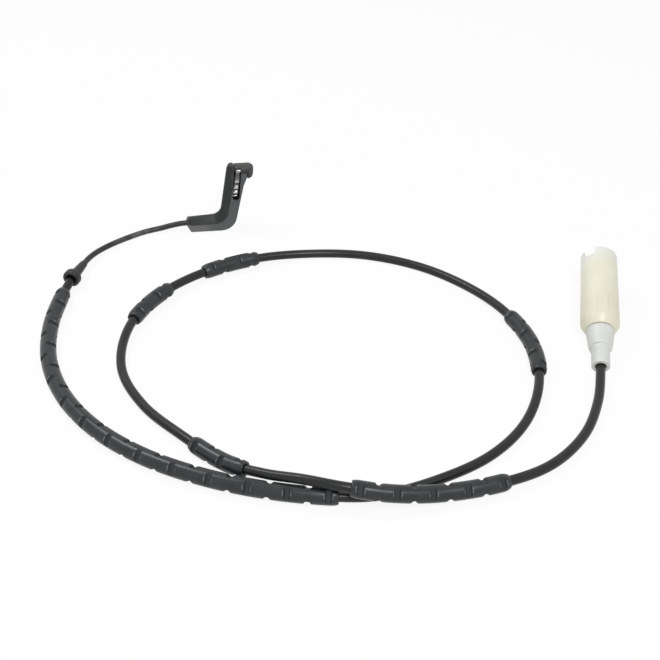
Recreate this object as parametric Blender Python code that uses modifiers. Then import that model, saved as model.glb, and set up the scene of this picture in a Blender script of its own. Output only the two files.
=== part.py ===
"""Brake pad wear sensor: an elbow head, a thin lead, a collar, a sleeved cable and a two-way plug."""
import math

import bmesh
import bpy
from mathutils import Matrix, Vector
from mathutils.geometry import interpolate_bezier

MM = 0.001

# Gaps between neighbours
SEAT_GAP = 0.3 * MM
WIRE_GAP = 0.2 * MM
FLOOR_GAP = 0.05 * MM

# Cords
LEAD_D = 3.0 * MM
CABLE_D = 4.5 * MM
CORE_D = 1.0 * MM
ROUTE_STEP = 1.5 * MM
LEAD_POINTS = 24
CABLE_POINTS = 80

# Route of the thin lead, from the head to the collar, in millimetres
LEAD_ROUTE = [
    (-13.2, 0.0, 4.2), (-17.5, 0.0, 4.2), (-22.5, 0.0, 3.9), (-27.5, 0.0, 3.0),
    (-32.5, -0.3, 2.0), (-37.0, -1.1, 1.6), (-41.5, -2.6, 1.6), (-45.5, -4.5, 1.6),
    (-49.5, -6.7, 1.6), (-53.7, -9.2, 1.6), (-57.7, -12.0, 1.7), (-61.5, -15.3, 2.0),
    (-65.0, -19.2, 2.5), (-68.2, -23.8, 3.2), (-70.9, -28.9, 3.9), (-73.1, -34.4, 4.4),
    (-74.1, -37.1, 4.6),
]

# Route of the main cable, from the collar to the inside of the plug's boot, in millimetres
CABLE_ROUTE = [
    (-78.2, -46.5, 4.7), (-82.8, -63.5, 4.2), (-86.3, -87.0, 4.2), (-85.0, -113.5, 4.2),
    (-76.4, -140.0, 4.2), (-61.2, -163.5, 4.2), (-41.2, -182.4, 4.2), (-17.8, -197.0, 4.2),
    (8.0, -208.0, 4.2), (36.0, -215.3, 4.2), (59.1, -215.8, 2.65), (86.0, -208.8, 2.45),
    (111.0, -196.5, 2.45), (130.7, -177.0, 2.65), (142.5, -152.0, 4.0), (145.3, -124.5, 4.2),
    (138.0, -97.5, 4.0), (123.5, -72.5, 2.65), (102.2, -52.5, 2.45), (75.0, -39.3, 2.45),
    (45.4, -35.0, 2.65), (16.5, -38.8, 4.1), (-11.0, -49.0, 4.2), (-33.5, -66.5, 4.2),
    (-47.8, -90.5, 4.0), (-51.0, -120.0, 2.45), (-40.5, -148.0, 2.65), (-22.7, -172.2, 4.1),
    (-4.6, -191.2, 4.4), (11.4, -202.6, 7.3), (27.4, -210.6, 10.2), (43.3, -217.1, 10.7),
    (63.1, -219.9, 7.5), (85.0, -219.2, 4.7), (110.8, -215.5, 4.1), (134.5, -205.9, 2.8),
    (153.6, -189.0, 2.45), (166.0, -168.0, 2.8), (173.6, -145.6, 4.4), (177.1, -131.3, 7.25),
]

# Rubber sleeves on the cable: where the near end lies along it, and the length
SLEEVES = {
    "long_sleeve": (12.5 * MM, 229.5 * MM),
    "right_sleeve": (377.0 * MM, 45.6 * MM),
    "top_sleeve": (573.0 * MM, 30.4 * MM),
    "top_left_sleeve": (625.0 * MM, 30.4 * MM),
    "bottom_left_sleeve": (758.0 * MM, 30.4 * MM),
    "front_sleeve": (836.0 * MM, 68.4 * MM),
}
LONG_PITCH = 8.5 * MM
SHORT_PITCH = 7.6 * MM
SLEEVE_D = 7.8 * MM
SLEEVE_FIT = 0.65 * MM
SLEEVE_SIDES = 10
SLOT_DEPTH = 1.45 * MM
SLOT_MOUTH = 4.6 * MM
SLOT_FLOOR = 2.6 * MM
SLOT_ANGLE = 52.0
RING_TURN = 90.0

# Sensor head, a side view in X and Z with its thickness along Y
HEAD_LEFT = -16.4 * MM
HEAD_T = 8.0 * MM
LOWER_LEG_H = 7.8 * MM
LOWER_LEG_RISE = 0.9 * MM
FOOT_L = 16.4 * MM
ELBOW_OUTER_R = 9.0 * MM
ELBOW_INNER_R = 6.0 * MM
ELBOW_STEPS = 8
OUTER_LEAN = 13.0
INNER_LEAN = 10.0
UPPER_LEG_W = 9.6 * MM
FLARE_Z = 28.0 * MM
FLARE_OUT = 0.9 * MM
HEAD_TOP_Z = 39.6 * MM
ARM_DROP = 4.0 * MM
ARM_TOP_Z = HEAD_TOP_Z - ARM_DROP
RIDGE_T = 1.6 * MM
BEVEL_START = 0.52
EDGE_ROUND = 0.5 * MM
END_SLANT = 19.0
SLOT_BOTTOM_Z = 19.3 * MM
SLOT_W = 3.8 * MM
SLOT_LEAN = 6.0
ARM_FOOT_T = 1.1 * MM
WEB_T = 1.6 * MM
COLUMN_TOP_R = 1.8 * MM
BORE_DEPTH = 5.0 * MM
CHANNEL_D = 3.4 * MM
CORE_SPREAD = 1.4 * MM

# Sensing tip, retaining spring and the wear loop
CAP_T = 2.0 * MM
CAP_LEFT_REACH = 2.6 * MM
CAP_OVERHANG = 2.9 * MM
CAP_HOOK = 2.8 * MM
CAP_CHAMFER_X = 2.2 * MM
CAP_CHAMFER_Y = 2.6 * MM
CAP_NOTCH_W = 3.0 * MM
CAP_NOTCH_T = 2.1 * MM
LOOP_D = 0.8 * MM
LOOP_POCKET_H = 1.3 * MM
SPRING_T = 0.3 * MM
SPRING_W = 2.2 * MM
SPRING_FRONT_Y = -3.5 * MM
SPRING_BACK_Y = -2.5 * MM
SPRING_LEAN = 9.5
SPRING_WAVES = 4
SPRING_GROWTH = 1.35
SPRING_CREST = 0.65

# Collar and strain relief between the lead and the cable
COLLAR_L = 15.5 * MM
RELIEF_TIP_R = 1.95 * MM
RELIEF_BASE_R = 2.7 * MM
RELIEF_L = 11.0 * MM
COLLAR_R = 4.5 * MM
CUP_WALL = 0.9 * MM
CUP_DEPTH = 2.6 * MM

# Plug: stations along its axis from the boot's rear end
BOOT_REAR_R = 4.4 * MM
BOOT_FRONT_R = 6.9 * MM
BOOT_L = 22.2 * MM
BOOT_PLUG_R = 6.0 * MM
BOOT_PLUG_L = 7.0 * MM
BOOT_CUFF_L = 11.0 * MM
BOOT_LEDGE = 0.5 * MM
BOOT_LEDGE_L = 2.0 * MM
BOOT_RIM_L = 2.5 * MM
BOOT_FUNNEL_L = 1.2 * MM
HOUSING_R = 9.5 * MM
MOUTH_R = 9.0 * MM
SHOULDER_L = 4.3 * MM
HOUSING_L = 49.5 * MM
HOUSING_WALL = 1.3 * MM
PARTITION_T = 2.4 * MM
MOUTH_NOTCH_W = 6.8 * MM
MOUTH_NOTCH_DEPTH = 4.5 * MM
MOUTH_NOTCH_TURN = -42.0
RAMP_W = 5.0 * MM
RAMP_L = 11.0 * MM
RAMP_H = 0.6 * MM
RAMP_STATION = 27.5 * MM
CARRIER_R = 6.2 * MM
CARRIER_BASE_T = 3.0 * MM
CARRIER_L = 22.0 * MM
TERMINAL_SPREAD = 5.0 * MM
TERMINAL_R = 0.8 * MM
CRIMP_R = 1.2 * MM
SOCKET_R = 1.4 * MM
SEAL_T = 2.2 * MM
RAMP_SINK = 0.35 * MM
TURNED_STEPS = 22
HOUSING_STEPS = 28
SMALL_STEPS = 16
PIN_STEPS = 8

COLOURS = {
    "head_plastic": ((0.075, 0.080, 0.080), 0.45, 0.0),
    "tip_plastic": ((0.070, 0.072, 0.060), 0.50, 0.0),
    "spring_steel": ((0.62, 0.62, 0.60), 0.30, 1.0),
    "copper": ((0.75, 0.38, 0.22), 0.30, 1.0),
    "core_insulation": ((0.03, 0.03, 0.03), 0.50, 0.0),
    "lead_jacket": ((0.060, 0.062, 0.062), 0.45, 0.0),
    "cable_jacket": ((0.040, 0.043, 0.043), 0.38, 0.0),
    "sleeve_rubber": ((0.050, 0.055, 0.057), 0.60, 0.0),
    "boot_rubber": ((0.72, 0.74, 0.70), 0.45, 0.0),
    "ivory_plastic": ((0.84, 0.82, 0.66), 0.40, 0.0),
    "carrier_plastic": ((0.78, 0.76, 0.62), 0.45, 0.0),
    "seal_silicone": ((0.55, 0.20, 0.08), 0.55, 0.0),
    "tinned_brass": ((0.70, 0.66, 0.52), 0.30, 1.0),
}


# Scene helpers
def clear_scene():
    for obj in list(bpy.data.objects):
        bpy.data.objects.remove(obj, do_unlink=True)


def new_collection(name):
    collection = bpy.data.collections.new(name)
    bpy.context.scene.collection.children.link(collection)
    return collection


def material(slot):
    if slot in bpy.data.materials:
        return bpy.data.materials[slot]
    colour, roughness, metallic = COLOURS[slot]
    mat = bpy.data.materials.new(slot)
    mat.use_nodes = True
    shader = mat.node_tree.nodes["Principled BSDF"]
    shader.inputs["Base Color"].default_value = (*colour, 1.0)
    shader.inputs["Roughness"].default_value = roughness
    shader.inputs["Metallic"].default_value = metallic
    return mat


def add_part(name, data, slot, smooth=True):
    obj = bpy.data.objects.new(name, data)
    parts.objects.link(obj)
    data.materials.append(material(slot))
    if smooth and obj.type == "MESH":
        data.shade_smooth()
        data.set_sharp_from_angle(angle=math.radians(35))
    return obj


def add_cutter(name, data):
    obj = bpy.data.objects.new(name, data)
    cutters.objects.link(obj)
    obj.display_type = "WIRE"
    obj.hide_render = True
    return obj


def cut(obj, cutter, operation="DIFFERENCE"):
    modifier = obj.modifiers.new(cutter.name, "BOOLEAN")
    modifier.operation = operation
    modifier.object = cutter
    modifier.solver = "EXACT"
    return modifier


def as_mesh(obj):
    """Turn a curve object into a welded mesh and remove the curve."""
    graph = bpy.context.evaluated_depsgraph_get()
    mesh = bpy.data.meshes.new_from_object(obj.evaluated_get(graph))
    mesh.transform(obj.matrix_world)
    bpy.data.objects.remove(obj)
    bm = bmesh.new()
    bm.from_mesh(mesh)
    bmesh.ops.remove_doubles(bm, verts=bm.verts, dist=0.00001)
    bmesh.ops.recalc_face_normals(bm, faces=bm.faces)
    bm.to_mesh(mesh)
    bm.free()
    mesh.materials.clear()
    return mesh


# Shape helpers
def poly_curve(name, points, closed=False, flat=False):
    curve = bpy.data.curves.new(name, "CURVE")
    curve.dimensions = "2D" if flat else "3D"
    spline = curve.splines.new("POLY")
    spline.points.add(len(points) - 1)
    for spline_point, point in zip(spline.points, points):
        spline_point.co = (*point, 0.0, 1.0) if flat else (*point, 1.0)
    spline.use_cyclic_u = closed
    return curve


def extruded_outline(name, outline, thickness, centre_y=0.0):
    """Closed outline in X and Z, extruded evenly along Y."""
    curve = poly_curve(name, outline, closed=True, flat=True)
    curve.fill_mode = "BOTH"
    curve.extrude = thickness / 2
    obj = bpy.data.objects.new(name, curve)
    bpy.context.scene.collection.objects.link(obj)
    obj.matrix_world = Matrix.Translation((0, centre_y, 0)) @ Matrix.Rotation(math.pi / 2, 4, "X")
    bpy.context.view_layer.update()
    return as_mesh(obj)


def tube_curve(name, points, diameter, resolution):
    curve = poly_curve(name, points)
    curve.bevel_depth = diameter / 2
    curve.bevel_resolution = resolution
    curve.use_fill_caps = True
    curve.twist_mode = "Z_UP"
    return curve


def tube_mesh(name, points, diameter, resolution):
    obj = bpy.data.objects.new(name, tube_curve(name, points, diameter, resolution))
    bpy.context.scene.collection.objects.link(obj)
    bpy.context.view_layer.update()
    return as_mesh(obj)


def turned_part(name, profile, slot=None, steps=TURNED_STEPS):
    """Turn a closed profile of (radius, station) points about Z, outer side first and top to bottom."""
    bm = bmesh.new()
    verts = [bm.verts.new((radius, 0.0, station)) for radius, station in profile]
    for start, end in zip(verts, verts[1:]):
        bm.edges.new((start, end))
    if profile[0][0] > 0.0 and profile[-1][0] > 0.0:
        bm.edges.new((verts[-1], verts[0]))
    mesh = bpy.data.meshes.new(name)
    bm.to_mesh(mesh)
    bm.free()
    obj = add_part(name, mesh, slot) if slot else add_cutter(name, mesh)
    screw = obj.modifiers.new("turn", "SCREW")
    screw.steps = steps
    screw.render_steps = steps
    screw.use_merge_vertices = True
    screw.merge_threshold = 0.00001
    screw.use_smooth_shade = False
    return obj


def box_mesh(name, low, high):
    bm = bmesh.new()
    bmesh.ops.create_cube(bm, size=1.0)
    size = Vector(high) - Vector(low)
    bmesh.ops.scale(bm, vec=size, verts=bm.verts)
    bmesh.ops.translate(bm, vec=(Vector(low) + Vector(high)) / 2, verts=bm.verts)
    mesh = bpy.data.meshes.new(name)
    bm.to_mesh(mesh)
    bm.free()
    return mesh


def arc(centre, radius, start, end, steps):
    """Points on an arc in a plane, angles in degrees."""
    points = []
    for step in range(steps + 1):
        angle = math.radians(start + (end - start) * step / steps)
        points.append((centre[0] + radius * math.cos(angle), centre[1] + radius * math.sin(angle)))
    return points


def smooth_path(route, scale):
    """Smooth curve through the route's points, as closely spaced points."""
    knots = [Vector(point) * scale for point in route]
    tangents = []
    for index in range(len(knots)):
        before = knots[max(index - 1, 0)]
        after = knots[min(index + 1, len(knots) - 1)]
        tangents.append((after - before).normalized())
    path = [knots[0]]
    for index in range(len(knots) - 1):
        start, end = knots[index], knots[index + 1]
        reach = (end - start).length / 3
        steps = max(3, math.ceil((end - start).length / ROUTE_STEP))
        handles = (start + tangents[index] * reach, end - tangents[index + 1] * reach)
        path += interpolate_bezier(start, handles[0], handles[1], end, steps + 1)[1:]
    return path


def path_length(path):
    return sum((end - start).length for start, end in zip(path, path[1:]))


def even_points(path, count):
    """Count points spaced evenly along a path."""
    spacing = path_length(path) / (count - 1)
    points = [path[0].copy()]
    travelled = 0.0
    for start, end in zip(path, path[1:]):
        step = (end - start).length
        while len(points) < count - 1 and spacing * len(points) <= travelled + step:
            share = (spacing * len(points) - travelled) / step
            points.append(start.lerp(end, share))
        travelled += step
    points.append(path[-1].copy())
    return points


def frame_along(start, direction, up=Vector((0, 0, 1))):
    """Matrix whose Z axis runs along a direction, with its Y axis as near to up as can be."""
    z_axis = direction.normalized()
    x_axis = up.cross(z_axis).normalized()
    y_axis = z_axis.cross(x_axis)
    return Matrix.Translation(start) @ Matrix((x_axis, y_axis, z_axis)).transposed().to_4x4()


# Sensor head
def leaning_x(foot_x, foot_z, lean, z):
    return foot_x + (z - foot_z) * math.tan(math.radians(lean))


def head_lines():
    """Matching points along the head's outer and inner outline, from the lead's end to the top."""
    foot_x = HEAD_LEFT + FOOT_L
    outer = [(HEAD_LEFT - HEAD_T / 2, 0.0)]
    outer += arc((foot_x, ELBOW_OUTER_R), ELBOW_OUTER_R, -90, -OUTER_LEAN, ELBOW_STEPS)
    arc_x, arc_z = outer[-1]
    for z, extra in ((FLARE_Z, 0.0), (ARM_TOP_Z - CAP_HOOK, FLARE_OUT), (HEAD_TOP_Z, FLARE_OUT)):
        outer.append((leaning_x(arc_x, arc_z, OUTER_LEAN, z) + extra, z))
    rise = math.degrees(math.atan2(LOWER_LEG_RISE, FOOT_L))
    level = arc_z + ELBOW_INNER_R
    inner_x = leaning_x(arc_x, arc_z, OUTER_LEAN, level) - UPPER_LEG_W / math.cos(math.radians(INNER_LEAN))
    normal = math.radians(INNER_LEAN)
    floor_z = LOWER_LEG_H + LOWER_LEG_RISE
    centre_z = floor_z + ELBOW_INNER_R
    touch_x = leaning_x(inner_x, level, INNER_LEAN, centre_z - ELBOW_INNER_R * math.sin(normal))
    centre_x = touch_x - ELBOW_INNER_R * math.cos(normal)
    inner = [(HEAD_LEFT - HEAD_T / 2, LOWER_LEG_H)]
    inner += arc((centre_x, centre_z), ELBOW_INNER_R, -90 + rise, -INNER_LEAN, ELBOW_STEPS)
    top_x, top_z = inner[-1]
    for z in (FLARE_Z, ARM_TOP_Z - CAP_HOOK, HEAD_TOP_Z):
        inner.append((leaning_x(top_x, top_z, INNER_LEAN, z), z))
    return outer, inner


def outer_x(z):
    """X of the upper leg's outer face at a height below the flare's top."""
    outer, _ = head_lines()
    for (x0, z0), (x1, z1) in zip(outer[-4:], outer[-3:]):
        if z <= z1:
            return x0 + (x1 - x0) * (z - z0) / (z1 - z0)
    return outer[-1][0]


def head_middle():
    """Middle line of the head, half way between its outer and inner outline."""
    outer, inner = head_lines()
    return [((a[0] + b[0]) / 2, (a[1] + b[1]) / 2) for a, b in zip(outer, inner)]


def leg_section(outer_point, inner_point):
    """Section across the leg: a flat outer half, an inner half that narrows to a ridge."""
    start = Vector((outer_point[0], 0.0, outer_point[1]))
    across = Vector((inner_point[0], 0.0, inner_point[1])) - start
    half = HEAD_T / 2
    width = across.length
    corner = EDGE_ROUND / width
    outline = [(0.0, -half + EDGE_ROUND), (0.0, half - EDGE_ROUND), (corner, half), (BEVEL_START, half),
               (1.0 - corner / 2, RIDGE_T / 2 + EDGE_ROUND / 2), (1.0, RIDGE_T / 2),
               (1.0, -RIDGE_T / 2), (1.0 - corner / 2, -RIDGE_T / 2 - EDGE_ROUND / 2),
               (BEVEL_START, -half), (corner, -half)]
    return [start + across * share + Vector((0.0, y, 0.0)) for share, y in outline]


def loft(name, sections):
    """Skin a row of sections that have the same number of points."""
    bm = bmesh.new()
    rings = [[bm.verts.new(point) for point in section] for section in sections]
    count = len(rings[0])
    for ring, following in zip(rings, rings[1:]):
        for index in range(count):
            other = (index + 1) % count
            bm.faces.new((ring[index], ring[other], following[other], following[index]))
    bm.faces.new(list(reversed(rings[0])))
    bm.faces.new(rings[-1])
    bmesh.ops.recalc_face_normals(bm, faces=bm.faces)
    mesh = bpy.data.meshes.new(name)
    bm.to_mesh(mesh)
    bm.free()
    return mesh


def slot_walls(z):
    """X of the slot's column side and arm side at a height."""
    foot_x = outer_x(slot_foot_z()) - ARM_FOOT_T
    arm_side = leaning_x(foot_x, slot_foot_z(), SLOT_LEAN, z)
    return arm_side - SLOT_W, arm_side


def slot_foot_z():
    return SLOT_BOTTOM_Z + SLOT_W / 2


def core_line():
    """Path of the wire cores: through the lower leg and elbow, then up beside the arm."""
    middle = head_middle()
    path = [(LEAD_ROUTE[0][0] * MM + SEAT_GAP, LEAD_ROUTE[0][2] * MM)]
    path += middle[2:ELBOW_STEPS + 2:2]
    path.append((sum(slot_walls(slot_foot_z())) / 2, slot_foot_z()))
    path.append((slot_walls(ARM_TOP_Z)[1] - core_offset(), ARM_TOP_Z))
    return path


def core_offset():
    return WIRE_GAP + CORE_D / 2


def make_head():
    outer, inner = head_lines()
    head = add_part("sensor_housing", loft("sensor_housing", map(leg_section, outer, inner)), "head_plastic")

    low_column, low_arm = slot_walls(slot_foot_z())
    top_arm = slot_walls(ARM_TOP_Z)[1]
    crown_z = HEAD_TOP_Z - COLUMN_TOP_R
    column_inner = leaning_x(inner[-1][0], inner[-1][1], INNER_LEAN, crown_z)
    crown_x = (column_inner + slot_walls(crown_z)[0]) / 2
    crown = arc((crown_x, crown_z), COLUMN_TOP_R, 180, 0, ELBOW_STEPS)
    share = (ARM_TOP_Z - slot_foot_z()) / (crown_z - slot_foot_z())
    step_x = low_column + (crown[-1][0] - low_column) * share
    above = 2 * HEAD_TOP_Z
    top_outline = [(step_x, ARM_TOP_Z), (top_arm + HEAD_T, ARM_TOP_Z), (top_arm + HEAD_T, above),
                   (column_inner - HEAD_T, above), (column_inner - HEAD_T, crown_z)] + crown
    cut(head, add_cutter("top_cutter", extruded_outline("top_cutter", top_outline, 2 * HEAD_T)))

    slot_outline = arc(((low_column + low_arm) / 2, slot_foot_z()), SLOT_W / 2, 180, 360, ELBOW_STEPS)
    slot_outline += [(top_arm, ARM_TOP_Z + SEAT_GAP), (step_x + SEAT_GAP, ARM_TOP_Z + SEAT_GAP)]
    slot_y = -HEAD_T / 2 - WEB_T
    slot = extruded_outline("fork_cutter", slot_outline, 2 * HEAD_T, slot_y)
    cut(head, add_cutter("fork_cutter", slot))

    end_box = box_mesh("lead_end_cutter", (-2 * HEAD_T, -2 * HEAD_T, -HEAD_T), (0, 2 * HEAD_T, 2 * HEAD_T))
    end_cutter = add_cutter("lead_end_cutter", end_box)
    end_cutter.location = (HEAD_LEFT, -HEAD_T / 2, 0)
    end_cutter.rotation_euler = (0, 0, math.radians(END_SLANT))
    cut(head, end_cutter)

    bore = bpy.data.meshes.new("lead_bore_cutter")
    bm = bmesh.new()
    mouth = Matrix.Translation((HEAD_LEFT - HEAD_T / 2, 0, core_line()[0][1]))
    turn = mouth @ Matrix.Rotation(math.pi / 2, 4, "Y")
    radius = LEAD_D / 2 + SEAT_GAP
    bmesh.ops.create_cone(bm, cap_ends=True, segments=SMALL_STEPS, radius1=radius, radius2=radius,
                          depth=HEAD_T + 2 * BORE_DEPTH, matrix=turn)
    bm.to_mesh(bore)
    bm.free()
    cut(head, add_cutter("lead_bore_cutter", bore))

    line = [Vector((x, 0.0, z)) for x, z in core_line()]
    channel = tube_mesh("core_channel_cutter", line[:-1], CHANNEL_D, 2)
    cut(head, add_cutter("core_channel_cutter", channel))


def make_tip():
    """Cap of the sensing tip: a plate over the arm with a hook down its outer side."""
    column_side, arm_side = slot_walls(ARM_TOP_Z)
    left = arm_side - CAP_LEFT_REACH
    arm_outer = outer_x(ARM_TOP_Z)
    hook_z = ARM_TOP_Z - CAP_HOOK
    hook_in = arm_outer + SEAT_GAP
    right = arm_outer + CAP_OVERHANG
    under = ARM_TOP_Z + SEAT_GAP
    top = under + CAP_T
    corner = CAP_T / 2
    outline = [(left, under), (hook_in, under), (hook_in, hook_z), (right - corner, hook_z),
               (right - corner / 3, hook_z + corner), (right, top - corner / 2), (right - corner / 2, top),
               (left + corner / 3, top), (left, top - corner / 3)]
    cap = add_part("sensing_tip", extruded_outline("sensing_tip", outline, HEAD_T), "tip_plastic")
    bevel = cap.modifiers.new("edges", "BEVEL")
    bevel.width = EDGE_ROUND / 2
    bevel.segments = 1
    bevel.limit_method = "ANGLE"
    notch = box_mesh("tip_notch_cutter", (left - CAP_T, -HEAD_T, under - CAP_T),
                     (left + CAP_NOTCH_W, -HEAD_T / 2 + CAP_NOTCH_T, top + CAP_T))
    cut(cap, add_cutter("tip_notch_cutter", notch))
    for index, side in enumerate((-1, 1), start=1):
        name = f"tip_corner_cutter_{index}"
        edge = side * HEAD_T / 2
        slant_y = side * CAP_CHAMFER_Y
        beyond = right + CAP_CHAMFER_X
        corner_outline = [(right - 2 * CAP_CHAMFER_X, edge + slant_y), (beyond, edge - 2 * slant_y),
                          (beyond, edge + slant_y)]
        corner_cutter = add_cutter(name, extruded_outline(name, corner_outline, 2 * HEAD_TOP_Z))
        corner_cutter.rotation_euler = (-math.pi / 2, 0, 0)
        cut(cap, corner_cutter)
    core_x = arm_side - core_offset()
    side = LOOP_D / 2 + WIRE_GAP
    pocket = box_mesh("loop_pocket_cutter", (core_x - side, -CORE_SPREAD / 2 - side, under - CAP_T),
                      (core_x + side, CORE_SPREAD / 2 + side, under + LOOP_POCKET_H))
    cut(cap, add_cutter("loop_pocket_cutter", pocket))


def make_wear_loop():
    """Bare wire loop in the tip's pocket, and the two cores that feed it."""
    line = core_line()
    for index, side in enumerate((-1, 1), start=1):
        name = f"head_core_{index}"
        points = [Vector((x, side * CORE_SPREAD / 2, z)) for x, z in line]
        add_part(name, tube_curve(name, points, CORE_D, 2), "core_insulation")
    core_x, core_top = line[-1]
    start_z = core_top + SEAT_GAP
    crest_z = core_top + SEAT_GAP + LOOP_POCKET_H - WIRE_GAP - LOOP_D / 2
    bend_z = crest_z - CORE_SPREAD / 4
    points = [Vector((core_x, -CORE_SPREAD / 2, start_z))]
    for y, z in arc((0, bend_z), CORE_SPREAD / 2, 180, 0, 6):
        points.append(Vector((core_x, y, bend_z + (z - bend_z) / 2)))
    points.append(Vector((core_x, CORE_SPREAD / 2, start_z)))
    add_part("wear_loop", tube_curve("wear_loop", points, LOOP_D, 2), "copper")


def make_spring():
    """Corrugated strip in the fork, with waves that grow towards the tip."""
    foot_z = slot_foot_z()
    foot_x = slot_walls(foot_z)[0] + SEAT_GAP
    height = foot_z
    span = ARM_TOP_Z + CAP_T - SEAT_GAP - foot_z
    pitch = span / sum(SPRING_GROWTH ** wave for wave in range(SPRING_WAVES))
    profile = [(SPRING_BACK_Y, height)]
    for _ in range(SPRING_WAVES):
        profile += [(SPRING_FRONT_Y, height + pitch * SPRING_CREST), (SPRING_BACK_Y, height + pitch)]
        height += pitch
        pitch *= SPRING_GROWTH
    bm = bmesh.new()
    verts = [bm.verts.new((leaning_x(foot_x, foot_z, SPRING_LEAN, z), y, z)) for y, z in profile]
    edges = [bm.edges.new(pair) for pair in zip(verts, verts[1:])]
    made = bmesh.ops.extrude_edge_only(bm, edges=edges)
    moved = [item for item in made["geom"] if isinstance(item, bmesh.types.BMVert)]
    bmesh.ops.translate(bm, vec=(SPRING_W, 0, 0), verts=moved)
    mesh = bpy.data.meshes.new("retaining_spring")
    bm.to_mesh(mesh)
    bm.free()
    spring = add_part("retaining_spring", mesh, "spring_steel", smooth=False)
    wall = spring.modifiers.new("thickness", "SOLIDIFY")
    wall.thickness = SPRING_T
    wall.offset = 0.0


# Cords
def make_cord(name, path, count, diameter, resolution, slot):
    add_part(name, tube_curve(name, even_points(path, count), diameter, resolution), slot)


def make_collar(lead_path, cable_path):
    """Strain relief on the lead that widens into a cup around the start of the cable."""
    axis = cable_path[0] - lead_path[-1]
    cup_floor = COLLAR_L - CUP_DEPTH
    start = cable_path[0] - axis.normalized() * (cup_floor + SEAT_GAP)
    lead_end = (lead_path[-1] - start).dot(axis.normalized())
    bore = LEAD_D / 2 + SEAT_GAP
    inside = COLLAR_R - CUP_WALL
    cup = [(0.0, cup_floor), (inside - CUP_WALL / 3, cup_floor), (inside, cup_floor + CUP_WALL / 3),
           (inside, COLLAR_L), (COLLAR_R - CUP_WALL / 2, COLLAR_L), (COLLAR_R, COLLAR_L - CUP_WALL),
           (COLLAR_R, RELIEF_L + CUP_WALL), (COLLAR_R - CUP_WALL, RELIEF_L)]
    relief = [(RELIEF_BASE_R, RELIEF_L), (RELIEF_TIP_R, SEAT_GAP), (bore, 0.0), (bore, lead_end + SEAT_GAP),
              (0.0, lead_end + SEAT_GAP)]
    collar = turned_part("lead_collar", cup + relief, "lead_jacket", steps=SMALL_STEPS)
    collar.matrix_world = frame_along(start, axis)


def sleeve_mesh(name, rings, pitch, start):
    """Straight tube along X, open at both ends, one segment to each slot ring."""
    bm = bmesh.new()
    turn = Matrix.Rotation(math.pi / 2, 4, "Y")
    made = bmesh.ops.create_circle(bm, segments=SLEEVE_SIDES, radius=SLEEVE_D / 2, matrix=turn)
    bmesh.ops.translate(bm, vec=(start, 0, 0), verts=made["verts"])
    edges = list(bm.edges)
    for _ in range(rings):
        made = bmesh.ops.extrude_edge_only(bm, edges=edges)
        verts = [item for item in made["geom"] if isinstance(item, bmesh.types.BMVert)]
        edges = [item for item in made["geom"] if isinstance(item, bmesh.types.BMEdge)]
        edges = [edge for edge in edges if all(vert in verts for vert in edge.verts)]
        bmesh.ops.translate(bm, vec=(pitch, 0, 0), verts=verts)
    bmesh.ops.recalc_face_normals(bm, faces=bm.faces)
    mesh = bpy.data.meshes.new(name)
    bm.to_mesh(mesh)
    bm.free()
    return mesh


def slot_cutters(name, rings, pitch, start):
    """Two opposite tapered blocks for each ring, each ring turned a quarter from the last."""
    bm = bmesh.new()
    floor = SLEEVE_D / 2 - SLOT_DEPTH
    top = SLEEVE_D / 2 + SLOT_DEPTH
    widen = (SLOT_MOUTH - SLOT_FLOOR) / (2 * SLOT_DEPTH)
    for ring in range(rings):
        for side in (0, 180):
            angle = math.radians(SLOT_ANGLE + RING_TURN * (ring % 2) + side)
            place = Matrix.Translation((start + (ring + 0.5) * pitch, 0, 0)) @ Matrix.Rotation(angle, 4, "X")
            made = bmesh.ops.create_cube(bm, size=1.0)
            for vert in made["verts"]:
                height = top if vert.co.z > 0 else floor
                length = SLOT_FLOOR / 2 + widen * (height - floor)
                vert.co = Vector((math.copysign(length, vert.co.x), vert.co.y * SLEEVE_D, height))
            bmesh.ops.transform(bm, matrix=place, verts=made["verts"])
    mesh = bpy.data.meshes.new(name)
    bm.to_mesh(mesh)
    bm.free()
    return mesh


def make_sleeves(cable_path):
    guide = bpy.data.objects.new("cable_guide", poly_curve("cable_guide", cable_path))
    guide.data.twist_mode = "Z_UP"
    cutters.objects.link(guide)
    guide.hide_render = True
    for name, (start, length) in SLEEVES.items():
        pitch = LONG_PITCH if name == "long_sleeve" else SHORT_PITCH
        rings = round(length / pitch)
        sleeve = add_part(name, sleeve_mesh(name, rings, pitch, start), "sleeve_rubber")
        wall = sleeve.modifiers.new("wall", "SOLIDIFY")
        wall.thickness = SLEEVE_D / 2 - CABLE_D / 2 - SLEEVE_FIT
        wall.offset = -1.0
        slots = name + "_slots"
        cut(sleeve, add_cutter(slots, slot_cutters(slots, rings, pitch, start)))
        sleeve.modifiers.new("facets", "TRIANGULATE")
        bend = sleeve.modifiers.new("bend", "CURVE")
        bend.object = guide
        bend.deform_axis = "POS_X"


# Plug
def shoulder_station():
    return BOOT_L + SHOULDER_L


def plug_frame():
    """The plug lies on its boot's rear rim and its housing's shoulder, so its nose is raised."""
    tilt = math.atan2(HOUSING_R - BOOT_REAR_R, shoulder_station())
    rear = Vector(CABLE_ROUTE[-2]) * MM
    inside = Vector(CABLE_ROUTE[-1]) * MM
    level = Vector((inside.x - rear.x, inside.y - rear.y, 0.0)).normalized()
    direction = level * math.cos(tilt) + Vector((0, 0, math.sin(tilt)))
    rear.z = BOOT_REAR_R * math.cos(tilt) + FLOOR_GAP
    return frame_along(rear, direction)


def cable_end_station(cable_path, frame):
    return (frame.inverted() @ cable_path[-1]).z


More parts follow.
